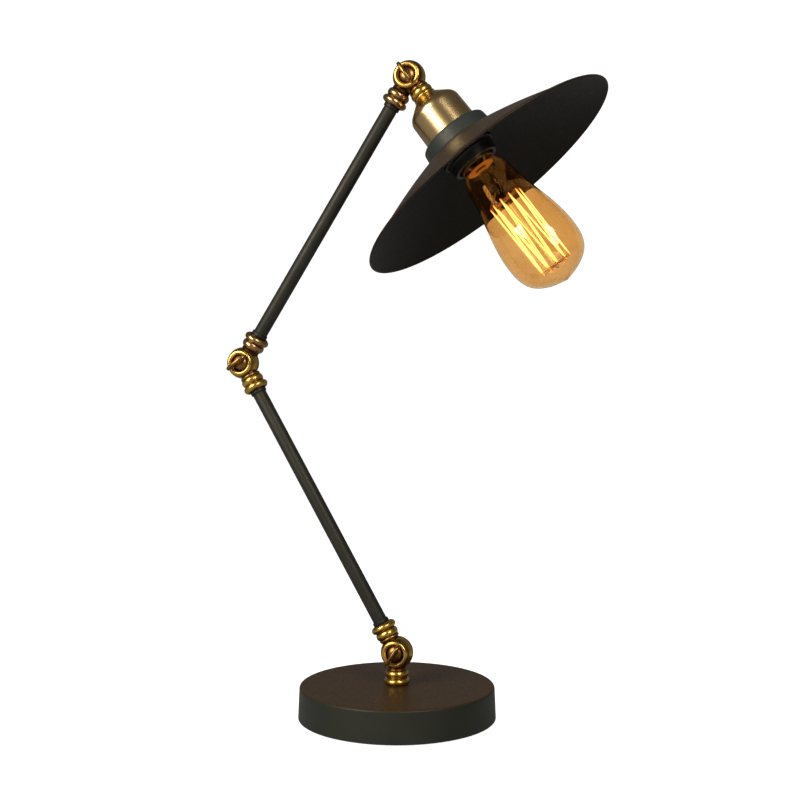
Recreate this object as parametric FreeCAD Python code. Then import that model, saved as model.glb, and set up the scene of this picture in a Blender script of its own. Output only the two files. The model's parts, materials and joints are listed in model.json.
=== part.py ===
import FreeCAD, Part
import math
import os

# Desk lamp with two arms on ball swivels, a shallow metal shade and a clear squirrel-cage bulb.
# Millimetres. Origin at the centre of the base's underside, +Z up. The arms swing in the XZ
# plane, the hinge axes run along Y, and the wing screws stand on the front, towards -Y.

Vector = FreeCAD.Vector
FRONT = -1
REAR = 1

# Pose in which the lamp stands, in degrees
lower_arm_lean = -29.5
upper_arm_lean = 32.0
head_lean = 142.5
base_wing_turn = 238.0
elbow_wing_turn = 216.0
head_wing_turn = 125.0

# How far a cutting tool runs past the face that it opens
cut_past = 1.0

# Base
base_height = 25.0
base_top_radius = 74.5
base_foot_radius = 75.5
base_edge_radius = 1.6
cover_wall = 1.5
cover_lift = 1.0
pad_thickness = 2.5
pad_radius = 72.5
weight_side_gap = 0.4
weight_edge_radius = 2.5
nut_pocket_radius = 22.0
nut_pocket_depth = 11.0
lead_channel_width = 15.0
lead_channel_height = 15.0
grommet_height = 10.5
grommet_body_radius = 5.0
grommet_flange_radius = 6.4
grommet_flange_thickness = 1.5
grommet_rim_radius = 0.6
cord_hole_radius = 3.1

# Ball swivels
ball_radius = 12.5
split_gap = 0.8
ball_clearance = 0.4
back_flat_radius = 4.6
ring_radius = 10.3
ring_height = 9.6
ring_groove = 0.7
ring_lip_drop = 0.9
recess_radius = 6.5
recess_floor = 4.4
chamber_radius = 9.4
front_chamber_depth = 2.2
rear_chamber_depth = 6.2
chamber_corner = 2.0
post_radius = 4.6
thread_depth = 9.4
friction_ring_inner = 9.8
friction_ring_outer = 11.7
friction_ring_clearance = 0.1
lead_bore_radius = 3.2
lead_bore_start = 7.0

# Turned necks of the swivels
neck_root = 8.0
neck_core_radius = 7.0
neck_groove_radius = 7.7
neck_step = 0.6
collar_length = 24.5
small_bead_height = 12.3
small_bead_radius = 8.1
small_bead_half_width = 0.95
middle_bead_height = 16.0
middle_bead_radius = 8.9
middle_bead_half_width = 2.7
large_bead_height = 21.6
large_bead_radius = 9.9
large_bead_half_width = 2.7
head_collar_length = 21.0
head_bead_height = 19.8
head_bead_radius = 9.0
head_bead_half_width = 1.0

# Wing screws
screw_radius = 2.5
screw_hole_clearance = 0.2
thread_fit = 0.05
screw_tip_depth = 8.4
screw_tip_chamfer = 0.4
spring_washer_inner = 2.8
spring_washer_outer = 4.9
spring_washer_thickness = 0.8
boss_clearance = 0.1
boss_radius = 6.1
boss_shoulder = 2.0
boss_dome = 2.0
boss_cheek_radius = 4.5
boss_cheek_rise = 1.25
wing_width = 19.0
wing_reach = 19.2
wing_thickness = 3.3
wing_stem_width = 8.4
wing_ring_clearance = 0.9
wing_corner = 2.6
wing_crown = 1.3
wing_edge_radius = 1.1

# Arm tubes, with ends turned down to a thread
tube_length = 200.0
tube_radius = 5.5
tube_bore_radius = 4.0
thread_radius = 5.0
tube_engagement = 7.5
socket_end_gap = 0.5
socket_fit = 0.05
lock_ring_radius = 6.4
lock_ring_height = 3.0
lock_ring_edge = 0.6

# Threaded nipples and hexagon nuts
nipple_bore_radius = 3.5
base_nut_flats = 17.0
base_nut_height = 5.0
washer_radius = 12.0
washer_thickness = 1.5
nipple_past_nut = 1.5
head_nut_flats = 12.6
head_nut_height = 3.5

# Cup over the lampholder
cup_wall = 0.9
cup_flat_radius = 8.8
cup_shoulder_radius = 17.6
cup_shoulder_drop = 7.4
cup_bend_radius = 19.8
cup_bend_drop = 9.75
cup_side_top_radius = 21.0
cup_side_drop = 13.0
cup_side_bottom_radius = 21.5
cup_length = 35.0

# Shade and its two clamping rings
shade_ring_height = 11.0
shade_ring_top_radius = 27.0
shade_ring_foot_radius = 28.5
shade_ring_edge = 1.8
shade_radius = 110.0
shade_depth = 35.0
shade_flat_radius = 28.5
shade_bow = 1.6
shade_wall = 0.8
shade_bead_radius = 1.1
lock_nut_radius = 21.8
lock_nut_height = 8.5
lock_nut_edge = 0.8

# Lampholder
skirt_radius = 19.7
skirt_fit = 0.15
skirt_bore_radius = 15.4
skirt_mouth_radius = 18.2
skirt_taper_height = 7.5
skirt_tail_length = 18.5
holder_cap_radius = 18.6
holder_cap_wall = 2.0
holder_cap_drop = 8.5
holder_cap_hub_radius = 8.0
holder_cap_hub_height = 6.0
core_radius = 15.2
core_thickness = 7.0
core_drop = 29.5
screw_shell_radius = 14.5
screw_shell_wall = 0.6
screw_shell_length = 25.0
screw_shell_hole_radius = 6.5
contact_width = 6.0
contact_thickness = 0.6
contact_rise = 2.2
contact_span = 9.0
terminal_radius = 2.4
terminal_length = 7.0
terminal_spacing = 16.0

# Bulb, heights measured from the rim of its screw cap
bulb_seat_drop = 66.0
bulb_cap_radius = 13.2
bulb_cap_wall = 0.5
bulb_cap_length = 22.0
insulator_height = 3.4
insulator_tip_radius = 5.6
bulb_contact_height = 1.2
bulb_contact_radius = 4.6
glass_wall = 0.8
glass_root_radius = 12.4
glass_root_depth = 6.0
glass_neck_radius = 16.2
glass_neck_height = 5.0
glass_waist_radius = 20.6
glass_waist_height = 24.0
glass_belly_radius = 29.6
glass_belly_height = 78.0
glass_side_radius = 26.4
glass_side_height = 52.0
glass_shoulder_radius = 25.0
glass_shoulder_height = 97.5
glass_nose_radius = 12.0
glass_nose_rise = 8.5
glass_tip_rise = 4.5
stem_flare_radius = 10.8
stem_flare_depth = 4.0
stem_tube_radius = 4.6
stem_tube_start = 3.0
stem_tube_end = 20.0
stem_press_radius = 2.6
stem_press_end = 25.0
stem_rod_radius = 1.3
stem_rod_past_cage = 2.0
cage_radius = 13.4
cage_top_height = 34.0
cage_foot_drop = 1.5
cage_strands = 20
cage_gap_turn = 30.0
filament_radius = 0.35
hook_radius = 0.3
hook_bead_radius = 2.2
hook_bead_height = 2.0
hook_end_gap = 0.1
filament_knot_radius = 0.36
lead_wire_angle = 29.0

# Sizes that follow from the values above
split_half = split_gap / 2
arm_length = 2 * collar_length + 2 * lock_ring_height + tube_length
base_joint_height = base_height + collar_length
ring_lip_height = ring_height - ring_lip_drop
boss_seat = recess_floor + spring_washer_thickness + boss_clearance
cup_top = head_collar_length
ring_top = cup_top + cup_length
shade_top = ring_top + shade_ring_height
holder_mouth = shade_top + skirt_tail_length
cap_rim = cup_top + bulb_seat_drop
core_top = cup_top + core_drop + core_thickness
glass_nose_height = glass_shoulder_height + glass_nose_rise
glass_tip_height = glass_nose_height + glass_tip_rise
cage_foot_height = glass_shoulder_height - cage_foot_drop
stem_rod_end = cage_foot_height + stem_rod_past_cage


def flat(point):
    """A (radius, height) pair as a point of the XZ plane."""
    return Vector(point[0], 0, point[1])


def outline_edges(outline):
    """Edges through (a, b) corners; a corner that is a pair of points is an arc through the first."""
    pen = flat(outline[0])
    edges = []
    for corner in outline[1:]:
        if isinstance(corner[0], tuple):
            end = flat(corner[1])
            edges.append(Part.Arc(pen, flat(corner[0]), end).toShape())
        else:
            end = flat(corner)
            edges.append(Part.LineSegment(pen, end).toShape())
        pen = end
    return edges


def outline_face(outline):
    """Closed flat face in the XZ plane inside an outline."""
    edges = outline_edges(outline + [outline[0]])
    return Part.Face(Part.Wire(edges))


def turned(outline):
    """Solid turned about Z from a closed outline of (radius, height) corners."""
    return outline_face(outline).revolve(Vector(0, 0, 0), Vector(0, 0, 1), 360)


def tube_between(inner, outer, bottom, top):
    """Plain ring or bush about Z."""
    return turned([(inner, bottom), (outer, bottom), (outer, top), (inner, top)])


def rod(radius, bottom, top):
    """Plain round bar about Z."""
    return Part.makeCylinder(radius, top - bottom, Vector(0, 0, bottom))


def rod_between(start, end, radius):
    """Round bar from one point to another."""
    run = end - start
    return Part.makeCylinder(radius, run.Length, start, run)


def turn_to_side(shape, side):
    """Turn a shape whose axis is +Z so that the axis points to the front (-Y) or the rear (+Y)."""
    placed = shape.copy()
    placed.rotate(Vector(0, 0, 0), Vector(1, 0, 0), -90 * side)
    return placed


def place(shape, position, lean):
    """Lean a shape's +Z by an angle about Y, towards +X, and move its origin to a position."""
    placed = shape.copy()
    placed.rotate(Vector(0, 0, 0), Vector(0, 1, 0), lean)
    placed.translate(position)
    return placed


def along(position, lean, distance):
    """Point at a distance from a position in the direction of a lean."""
    angle = math.radians(lean)
    return position + Vector(math.sin(angle), 0, math.cos(angle)) * distance


def hexagon_nut(flats, bottom, height, hole_radius):
    """Hexagon nut about Z with a chamfered outside."""
    corner = flats / math.sqrt(3)
    corners = []
    for index in range(7):
        angle = math.radians(60 * index)
        corners.append(Vector(corner * math.cos(angle), corner * math.sin(angle), bottom))
    prism = Part.Face(Part.makePolygon(corners)).extrude(Vector(0, 0, height))
    chamfer = corner - flats / 2
    barrel = turned([
        (0, bottom),
        (flats / 2, bottom),
        (corner, bottom + chamfer / 2),
        (corner, bottom + height - chamfer / 2),
        (flats / 2, bottom + height),
        (0, bottom + height),
    ])
    return prism.common(barrel).cut(rod(hole_radius, bottom - cut_past, bottom + height + cut_past))


# Base ---------------------------------------------------------------------------------------

def wall_slope():
    """Growth of the cover's radius for each millimetre down its side."""
    return (base_foot_radius - base_top_radius) / (base_height - cover_lift)


def side_radius(height):
    """Outer radius of the cover's side at a height above the desk."""
    return base_top_radius + (base_height - height) * wall_slope()


def base_cover():
    """Spun steel cover: flat top, crisp rounded edge and a side that flares slightly."""
    round_start = base_top_radius - base_edge_radius
    round_end = base_height - base_edge_radius
    middle = base_edge_radius * math.sqrt(0.5)
    arc_middle = (round_start + middle, round_end + middle)
    inner_top = base_height - cover_wall
    cover = turned([
        (thread_radius + socket_fit, base_height),
        (round_start, base_height),
        (arc_middle, (side_radius(round_end), round_end)),
        (side_radius(cover_lift), cover_lift),
        (side_radius(cover_lift) - cover_wall, cover_lift),
        (side_radius(inner_top) - cover_wall, inner_top),
        (thread_radius + socket_fit, inner_top),
    ])
    hole = rod_between(
        Vector(0, base_top_radius / 2, grommet_height),
        Vector(0, base_foot_radius + grommet_flange_radius, grommet_height),
        grommet_body_radius,
    )
    return cover.cut(hole)


def base_weight():
    """Cast iron disc under the cover, with a pocket for the nut and a channel for the lead."""
    top = base_height - cover_wall
    foot_radius = side_radius(pad_thickness) - cover_wall - weight_side_gap
    top_radius = side_radius(top) - cover_wall - weight_side_gap
    disc = turned([
        (thread_radius + weight_side_gap, pad_thickness),
        (foot_radius, pad_thickness),
        (top_radius, top - weight_edge_radius),
        (top_radius - weight_edge_radius, top),
        (thread_radius + weight_side_gap, top),
    ])
    pocket = rod(nut_pocket_radius, pad_thickness, pad_thickness + nut_pocket_depth)
    channel = Part.makeBox(
        lead_channel_width,
        base_foot_radius,
        lead_channel_height,
        Vector(-lead_channel_width / 2, 0, pad_thickness),
    )
    return disc.cut(pocket).cut(channel)


def base_pad():
    """Soft pad glued under the weight; the lamp rests on it."""
    return turned([
        (0, 0),
        (pad_radius, 0),
        (pad_radius, pad_thickness),
        (0, pad_thickness),
    ])


def cord_grommet():
    """Flanged bush in the rear of the cover, round the hole that the supply cord takes."""
    wall_outside = side_radius(grommet_height)
    sagitta = grommet_flange_radius ** 2 / (2 * wall_outside)
    outer_face = wall_outside + grommet_flange_thickness
    inner_face = wall_outside - cover_wall - sagitta - grommet_flange_thickness
    bush = turned([
        (cord_hole_radius, inner_face),
        (grommet_flange_radius, inner_face),
        (grommet_flange_radius, outer_face - grommet_rim_radius),
        (grommet_flange_radius - grommet_rim_radius, outer_face),
        (cord_hole_radius, outer_face),
    ])
    bush = turn_to_side(bush, REAR)
    bush.translate(Vector(0, 0, grommet_height))
    return bush.cut(base_cover())


def base_nipple():
    """Threaded tube that draws the lowest swivel down on to the base."""
    pocket_top = pad_thickness + nut_pocket_depth
    bottom = pocket_top - washer_thickness - base_nut_height - nipple_past_nut
    top = base_height + tube_engagement
    return tube_between(nipple_bore_radius, thread_radius, bottom, top)


def base_washer():
    """Plain washer between the nut and the weight."""
    top = pad_thickness + nut_pocket_depth
    return tube_between(thread_radius + socket_fit, washer_radius, top - washer_thickness, top)


def base_nut():
    """Nut that clamps the weight, the cover and the lowest swivel together."""
    bottom = pad_thickness + nut_pocket_depth - washer_thickness - base_nut_height
    return hexagon_nut(base_nut_flats, bottom, base_nut_height, thread_radius + socket_fit)


# Ball swivels: neck along +Z, hinge along Y, each half on its own side of the split -----------

def ball_point(angle):
    """Point of the ball's outline at an angle from the hinge axis."""
    return (ball_radius * math.sin(angle), ball_radius * math.cos(angle))


def ball_arc(start_angle, end_angle):
    """Arc of the ball's outline, as an outline corner."""
    return (ball_point((start_angle + end_angle) / 2), ball_point(end_angle))


def front_dome():
    """Half ball with a rounded ring standing round the screw's recess."""
    edge_angle = math.acos(split_half / ball_radius)
    groove_angle = math.asin((ring_radius + ring_groove) / ball_radius)
    ring_foot = ball_point(math.asin(ring_radius / ball_radius))[1]
    crest_radius = (ring_radius + recess_radius) / 2
    return turned([
        (0, split_half),
        ball_point(edge_angle),
        ball_arc(edge_angle, groove_angle),
        (ring_radius, ring_foot - ring_groove / 2),
        ((crest_radius, ring_height), (recess_radius, ring_lip_height)),
        (0, ring_lip_height),
    ])


def rear_dome():
    """Plain half ball with a small flat on its back."""
    edge_angle = math.acos(split_half / ball_radius)
    flat_angle = math.asin(back_flat_radius / ball_radius)
    return turned([
        (0, split_half),
        ball_point(edge_angle),
        ball_arc(edge_angle, flat_angle),
        (0, ball_point(flat_angle)[1]),
    ])


def bead(height, radius, half_width):
    """Rounded bead on a neck, between two grooves, as outline corners."""
    return [
        (neck_groove_radius, height - half_width),
        ((radius, height), (neck_groove_radius, height + half_width)),
    ]


def neck(beads, length):
    """Turned neck: a plain root beside the ball, then rounded beads."""
    first_height, _, first_half_width = beads[0]
    root_end = first_height - first_half_width - neck_step
    outline = [(0, neck_root), (neck_core_radius, neck_root), (neck_core_radius, root_end)]
    for height, radius, half_width in beads:
        outline += bead(height, radius, half_width)
    outline += [(neck_groove_radius, length), (0, length)]
    return turned(outline)


def chamber(side, depth):
    """Room round the screw's post for the lead to pass through a swivel half."""
    room = turned([
        (post_radius, 0),
        (chamber_radius, 0),
        (chamber_radius, split_half + depth - chamber_corner),
        (chamber_radius - chamber_corner, split_half + depth),
        (post_radius, split_half + depth),
    ])
    return turn_to_side(room, side)


def partner_space(side):
    """Space that the other half of the ball turns in."""
    reach = ball_radius + ball_clearance
    corner = Vector(-reach, -split_half, -reach)
    block = Part.makeBox(2 * reach, split_half + reach, 2 * reach, corner)
    space = Part.makeSphere(reach).common(block)
    if side == REAR:
        space.rotate(Vector(0, 0, 0), Vector(0, 0, 1), 180)
    return space


def screw_hole(side):
    """Clearance hole and recess in the front half, or threaded hole in the rear half."""
    if side == FRONT:
        hole = rod(screw_radius + screw_hole_clearance, 0, ring_height)
        recess = rod(recess_radius, recess_floor, ring_height + ring_groove)
        return turn_to_side(hole.fuse(recess), side)
    return turn_to_side(rod(screw_radius + thread_fit, 0, thread_depth), side)


def swivel_half(side, beads, length):
    """One half of a ball swivel, with a neck that takes a threaded tube."""
    dome = front_dome() if side == FRONT else rear_dome()
    depth = front_chamber_depth if side == FRONT else rear_chamber_depth
    socket_floor = length - tube_engagement - socket_end_gap
    body = turn_to_side(dome, side).fuse(neck(beads, length))
    body = body.cut(partner_space(side))
    body = body.cut(chamber(side, depth))
    body = body.cut(rod(lead_bore_radius, lead_bore_start, socket_floor + cut_past))
    body = body.cut(rod(thread_radius + socket_fit, socket_floor, length + cut_past))
    return body.cut(screw_hole(side))


def rear_beads():
    """Two beads of a rear half's neck."""
    return [
        (middle_bead_height, middle_bead_radius, middle_bead_half_width),
        (large_bead_height, large_bead_radius, large_bead_half_width),
    ]


def front_beads():
    """Three beads of a front half's neck: a small one beside the ball, then those of the rear half."""
    return [(small_bead_height, small_bead_radius, small_bead_half_width)] + rear_beads()


def head_beads():
    """Beads of the shorter neck that carries the cup."""
    return [
        (small_bead_height, small_bead_radius, small_bead_half_width),
        (middle_bead_height, middle_bead_radius, middle_bead_half_width),
        (head_bead_height, head_bead_radius, head_bead_half_width),
    ]


def friction_ring():
    """Thin ring between the halves, held by the rear half."""
    start = -split_half
    end = split_half - friction_ring_clearance
    return turn_to_side(tube_between(friction_ring_inner, friction_ring_outer, start, end), FRONT)


def spring_washer():
    """Washer on the floor of the recess, under the wing screw."""
    top = recess_floor + spring_washer_thickness
    ring = tube_between(spring_washer_inner, spring_washer_outer, recess_floor, top)
    return turn_to_side(ring, FRONT)


def wing_blade():
    """Flat finger grip of a wing screw, in the XZ plane with the screw's axis along +Z."""
    stem = wing_stem_width / 2
    lug = wing_width / 2
    root = boss_seat + boss_shoulder
    foot = ring_height + wing_ring_clearance
    lug_height = (foot + wing_reach) / 2
    corner = lug - wing_corner
    shoulder = wing_reach - wing_crown
    face = outline_face([
        (-stem, root),
        (-stem, foot),
        ((-lug, lug_height), (-corner, shoulder)),
        ((0, wing_reach), (corner, shoulder)),
        ((lug, lug_height), (stem, foot)),
        (stem, root),
    ])
    blade = face.extrude(Vector(0, wing_thickness, 0))
    blade.translate(Vector(0, -wing_thickness / 2, 0))
    return blade.makeFillet(wing_edge_radius, [edge for edge in blade.Edges if is_wing_rim(edge, root)])


def is_wing_rim(edge, root):
    """Whether an edge runs round a face of the blade, other than at its root."""
    crosses = abs(edge.Vertexes[0].Y - edge.Vertexes[-1].Y) > wing_edge_radius
    return not crosses and edge.BoundBox.ZMax > root + wing_edge_radius


def wing_screw(turn):
    """Wing screw along the hinge, its blade turned by an angle from +X as seen from the front."""
    shank = turned([
        (0, -screw_tip_depth),
        (screw_radius - screw_tip_chamfer, -screw_tip_depth),
        (screw_radius, screw_tip_chamfer - screw_tip_depth),
        (screw_radius, boss_seat),
        (boss_radius, boss_seat),
        (boss_radius, boss_seat + boss_shoulder),
        ((boss_cheek_radius, boss_seat + boss_shoulder + boss_cheek_rise),
         (0, boss_seat + boss_shoulder + boss_dome)),
    ])
    screw = shank.fuse(wing_blade())
    screw.rotate(Vector(0, 0, 0), Vector(0, 0, 1), turn)
    return turn_to_side(screw, FRONT)


# Arm, from the lower ball centre along +Z ------------------------------------------------------

def arm_tube():
    """Steel tube with both ends turned down for the thread."""
    body_start = collar_length + lock_ring_height
    body_end = body_start + tube_length
    start = collar_length - tube_engagement
    end = arm_length - start
    return turned([
        (tube_bore_radius, start),
        (thread_radius, start),
        (thread_radius, body_start),
        (tube_radius, body_start),
        (tube_radius, body_end),
        (thread_radius, body_end),
        (thread_radius, end),
        (tube_bore_radius, end),
    ])


def lock_ring(bottom):
    """Black ring that locks a tube in its swivel."""
    top = bottom + lock_ring_height
    inner = thread_radius + socket_fit
    return turned([
        (inner, bottom),
        (lock_ring_radius - lock_ring_edge, bottom),
        (lock_ring_radius, bottom + lock_ring_edge),
        (lock_ring_radius, top - lock_ring_edge),
        (lock_ring_radius - lock_ring_edge, top),
        (inner, top),
    ])


# Head, from the ball centre along +Z towards the bulb ----------------------------------------

def head_nipple():
    """Threaded tube through the cup, from the swivel into the lampholder."""
    bottom = cup_top - tube_engagement
    top = cup_top + holder_cap_drop + holder_cap_hub_height - socket_end_gap
    return tube_between(nipple_bore_radius, thread_radius, bottom, top)


def head_nut():
    """Nut inside the cup that holds it to the swivel."""
    return hexagon_nut(head_nut_flats, cup_top + cup_wall, head_nut_height, thread_radius + socket_fit)


def socket_cup():
    """Spun brass cup over the lampholder: flat top, sloping shoulder, nearly straight side."""
    shoulder = cup_top + cup_shoulder_drop
    side = cup_top + cup_side_drop
    slope = math.atan2(cup_shoulder_drop, cup_shoulder_radius - cup_flat_radius)
    bend_slope = (slope + math.pi / 2) / 2
    bend = (cup_bend_radius, cup_top + cup_bend_drop)
    inner_bend = (bend[0] - cup_wall * math.sin(bend_slope), bend[1] + cup_wall * math.cos(bend_slope))
    inner_shoulder = (cup_shoulder_radius - cup_wall * math.sin(slope), shoulder + cup_wall * math.cos(slope))
    return turned([
        (thread_radius + socket_fit, cup_top),
        (cup_flat_radius, cup_top),
        (cup_shoulder_radius, shoulder),
        (bend, (cup_side_top_radius, side)),
        (cup_side_bottom_radius, ring_top),
        (cup_side_bottom_radius - cup_wall, ring_top),
        (cup_side_top_radius - cup_wall, side),
        (inner_bend, inner_shoulder),
        (cup_flat_radius - cup_wall * math.tan(slope / 2), cup_top + cup_wall),
        (thread_radius + socket_fit, cup_top + cup_wall),
    ])


def holder_cap():
    """Moulded cap that screws on the nipple and closes the lampholder."""
    top = cup_top + holder_cap_drop
    foot = cup_top + core_drop
    hub_end = top + holder_cap_hub_height
    return turned([
        (thread_radius + socket_fit, top),
        (holder_cap_radius - 2 * holder_cap_wall, top),
        (holder_cap_radius, top + 2 * holder_cap_wall),
        (holder_cap_radius, foot),
        (holder_cap_radius - holder_cap_wall, foot),
        (holder_cap_radius - holder_cap_wall, top + 2 * holder_cap_wall),
        (holder_cap_hub_radius, top + holder_cap_wall),
        (holder_cap_hub_radius, hub_end),
        (thread_radius + socket_fit, hub_end),
    ])


def holder_core():
    """Moulded core that carries the screw shell, the contact and the terminals."""
    bottom = cup_top + core_drop
    disc = rod(core_radius, bottom, core_top)
    for side in (-1, 1):
        hole = rod(terminal_radius, bottom - cut_past, bottom + terminal_length / 2)
        hole.translate(Vector(side * terminal_spacing / 2, 0, 0))
        disc = disc.cut(hole)
    return disc


def holder_terminals():
    """Two screws under the core for the ends of the lead."""
    bottom = cup_top + core_drop
    screws = []
    for side in (-1, 1):
        screw = rod(terminal_radius - socket_fit, bottom - terminal_length / 2, bottom + terminal_length / 2)
        screw.translate(Vector(side * terminal_spacing / 2, 0, 0))
        screws.append(screw)
    return Part.makeCompound(screws)


def holder_skirt():
    """Moulded skirt: seat for the core, threaded outside for the rings, tapered mouth."""
    seat = cup_top + core_drop
    taper_start = holder_mouth - skirt_taper_height
    return turned([
        (skirt_bore_radius, seat),
        (skirt_radius, seat),
        (skirt_radius, taper_start),
        (skirt_mouth_radius, holder_mouth),
        (skirt_bore_radius, holder_mouth),
    ])


def screw_shell():
    """Brass shell that the bulb screws into, with a flange on the core."""
    inner = screw_shell_radius - screw_shell_wall
    return turned([
        (screw_shell_hole_radius, core_top),
        (screw_shell_radius, core_top),
        (screw_shell_radius, core_top + screw_shell_length),
        (inner, core_top + screw_shell_length),
        (inner, core_top + screw_shell_wall),
        (screw_shell_hole_radius, core_top + screw_shell_wall),
    ])


def centre_contact():
    """Bent spring tongue that meets the bulb's centre contact."""
    half = contact_span / 2
    rise = core_top + contact_rise
    face = outline_face([
        (-half, core_top),
        (-half, core_top + contact_thickness),
        ((0, rise + contact_thickness), (half, core_top + contact_thickness)),
        (half, core_top),
        (half - contact_thickness, core_top),
        ((0, rise), (contact_thickness - half, core_top)),
    ])
    tongue = face.extrude(Vector(0, contact_width, 0))
    tongue.translate(Vector(0, -contact_width / 2, 0))
    return tongue


def shade_ring():
    """Outer ring between the cup and the shade."""
    inner = skirt_radius + skirt_fit
    top_corner = shade_ring_top_radius - shade_ring_edge
    middle = shade_ring_edge * (1 - math.sqrt(0.5))
    return turned([
        (inner, ring_top),
        (top_corner, ring_top),
        ((shade_ring_top_radius - middle, ring_top + middle),
         (shade_ring_top_radius, ring_top + shade_ring_edge)),
        (shade_ring_foot_radius, shade_top),
        (inner, shade_top),
    ])


def shade():
    """Shallow spun shade: flat seat, slightly bowed cone and a rolled bead at the rim."""
    rim = shade_top + shade_depth
    rim_radius = shade_radius - shade_bead_radius
    run = math.hypot(rim_radius - shade_flat_radius, shade_depth)
    across = (shade_depth / run, (shade_flat_radius - rim_radius) / run)
    middle_radius = (shade_flat_radius + rim_radius) / 2
    middle_height = (shade_top + rim - shade_bead_radius) / 2
    outer_middle = (middle_radius + across[0] * shade_bow, middle_height + across[1] * shade_bow)
    inner_middle = (outer_middle[0] - across[0] * shade_wall, outer_middle[1] - across[1] * shade_wall)
    sheet = turned([
        (skirt_radius + skirt_fit, shade_top),
        (shade_flat_radius, shade_top),
        (outer_middle, (rim_radius, rim - shade_bead_radius)),
        (rim_radius - across[0] * shade_wall, rim - shade_bead_radius - across[1] * shade_wall),
        (inner_middle, (shade_flat_radius - across[0] * shade_wall, shade_top + shade_wall)),
        (skirt_radius + skirt_fit, shade_top + shade_wall),
    ])
    bead_ring = Part.makeTorus(rim_radius, shade_bead_radius, Vector(0, 0, rim - shade_bead_radius))
    return sheet.fuse(bead_ring)


def shade_lock_nut():
    """Inner ring that clamps the shade against the outer ring."""
    bottom = shade_top + shade_wall
    top = bottom + lock_nut_height
    inner = skirt_radius + skirt_fit
    return turned([
        (inner, bottom),
        (lock_nut_radius, bottom),
        (lock_nut_radius, top - lock_nut_edge),
        (lock_nut_radius - lock_nut_edge, top),
        (inner, top),
    ])


# Bulb, built with the rim of its cap at height 0 -----------------------------------------------

def glass_curve(inset):
    """Smooth outline of the glass from the neck to the tip, set in by the wall for the inside."""
    points = [
        flat((glass_root_radius - inset, 0)),
        flat((glass_neck_radius - inset, glass_neck_height)),
        flat((glass_waist_radius - inset, glass_waist_height)),
        flat((glass_side_radius - inset, glass_side_height)),
        flat((glass_belly_radius - inset, glass_belly_height)),
        flat((glass_shoulder_radius - inset, glass_shoulder_height - inset / 2)),
        flat((glass_nose_radius - inset / 2, glass_nose_height - inset)),
        flat((0, glass_tip_height - inset)),
    ]
    curve = Part.BSplineCurve()
    curve.interpolate(points)
    return curve.toShape()


def bulb_glass():
    """Blown glass with a narrow root inside the cap, a straight-sided cone and a full shoulder."""
    inner_root = glass_root_radius - glass_wall
    outer = glass_curve(0)
    inner = glass_curve(glass_wall)
    outer_root = flat((glass_root_radius, -glass_root_depth))
    inner_foot = flat((inner_root, -glass_root_depth))
    edges = [
        Part.LineSegment(outer_root, flat((glass_root_radius, 0))).toShape(),
        outer,
        Part.LineSegment(flat((0, glass_tip_height)), flat((0, glass_tip_height - glass_wall))).toShape(),
        inner,
        Part.LineSegment(flat((inner_root, 0)), inner_foot).toShape(),
        Part.LineSegment(inner_foot, outer_root).toShape(),
    ]
    wire = Part.Wire(Part.__sortEdges__(edges))
    return Part.Face(wire).revolve(Vector(0, 0, 0), Vector(0, 0, 1), 360)


def bulb_cap():
    """Brass screw cap of the bulb."""
    inner = bulb_cap_radius - bulb_cap_wall
    return tube_between(inner, bulb_cap_radius, -bulb_cap_length, 0)


def bulb_insulator():
    """Black glass cone that closes the cap."""
    foot = -bulb_cap_length
    inner = bulb_cap_radius - bulb_cap_wall
    return turned([
        (0, foot - insulator_height),
        (insulator_tip_radius, foot - insulator_height),
        (inner, foot),
        (inner - socket_fit, foot + bulb_cap_wall),
        (0, foot + bulb_cap_wall),
    ])


def bulb_contact():
    """Centre contact of the bulb."""
    seat = -bulb_cap_length - insulator_height
    return turned([
        (0, seat - bulb_contact_height),
        (bulb_contact_radius / 2, seat - bulb_contact_height),
        (bulb_contact_radius, seat),
        (0, seat),
    ])


def bulb_stem():
    """Glass stem: flare sealed to the neck, tube, press and the long rod that carries the cage."""
    return turned([
        (0, stem_tube_start),
        (stem_tube_radius - glass_wall, stem_tube_start),
        (stem_flare_radius - glass_wall, -stem_flare_depth),
        (stem_flare_radius, -stem_flare_depth),
        (stem_tube_radius, stem_tube_start),
        (stem_tube_radius, stem_tube_end),
        (stem_press_radius, stem_press_end),
        (stem_rod_radius, stem_press_end + stem_press_radius),
        (stem_rod_radius, stem_rod_end),
        (0, stem_rod_end + stem_rod_radius),
    ])


def cage_point(step, height):
    """Point of the filament cage at a strand's step round the axis."""
    turn = math.radians(cage_gap_turn / 2 + step * (360.0 - cage_gap_turn) / cage_strands)
    return Vector(cage_radius * math.cos(turn), cage_radius * math.sin(turn), height)


def filament():
    """Long filament strung up and down between the upper and the lower hooks."""
    points = []
    for step in range(cage_strands + 1):
        height = cage_top_height if step % 2 == 0 else cage_foot_height
        points.append(cage_point(step, height))
    strand = None
    for start, end in zip(points, points[1:]):
        run = rod_between(start, end, filament_radius)
        knot = Part.makeSphere(filament_knot_radius, end)
        strand = run.fuse(knot) if strand is None else strand.fuse([run, knot])
    return strand


def cage_hooks(first_step, height):
    """Wire hooks that spread from a bead on the rod to every second turn of the filament."""
    reach = cage_radius - filament_radius - hook_end_gap
    hooks = tube_between(stem_rod_radius, hook_bead_radius, height - hook_bead_height / 2,
                         height + hook_bead_height / 2)
    for step in range(first_step, cage_strands + 1, 2):
        outward = cage_point(step, 0).normalize()
        start = Vector(0, 0, height) + outward * (stem_rod_radius + hook_radius)
        end = Vector(0, 0, height) + outward * reach
        hooks = hooks.fuse(rod_between(start, end, hook_radius))
    return hooks


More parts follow.
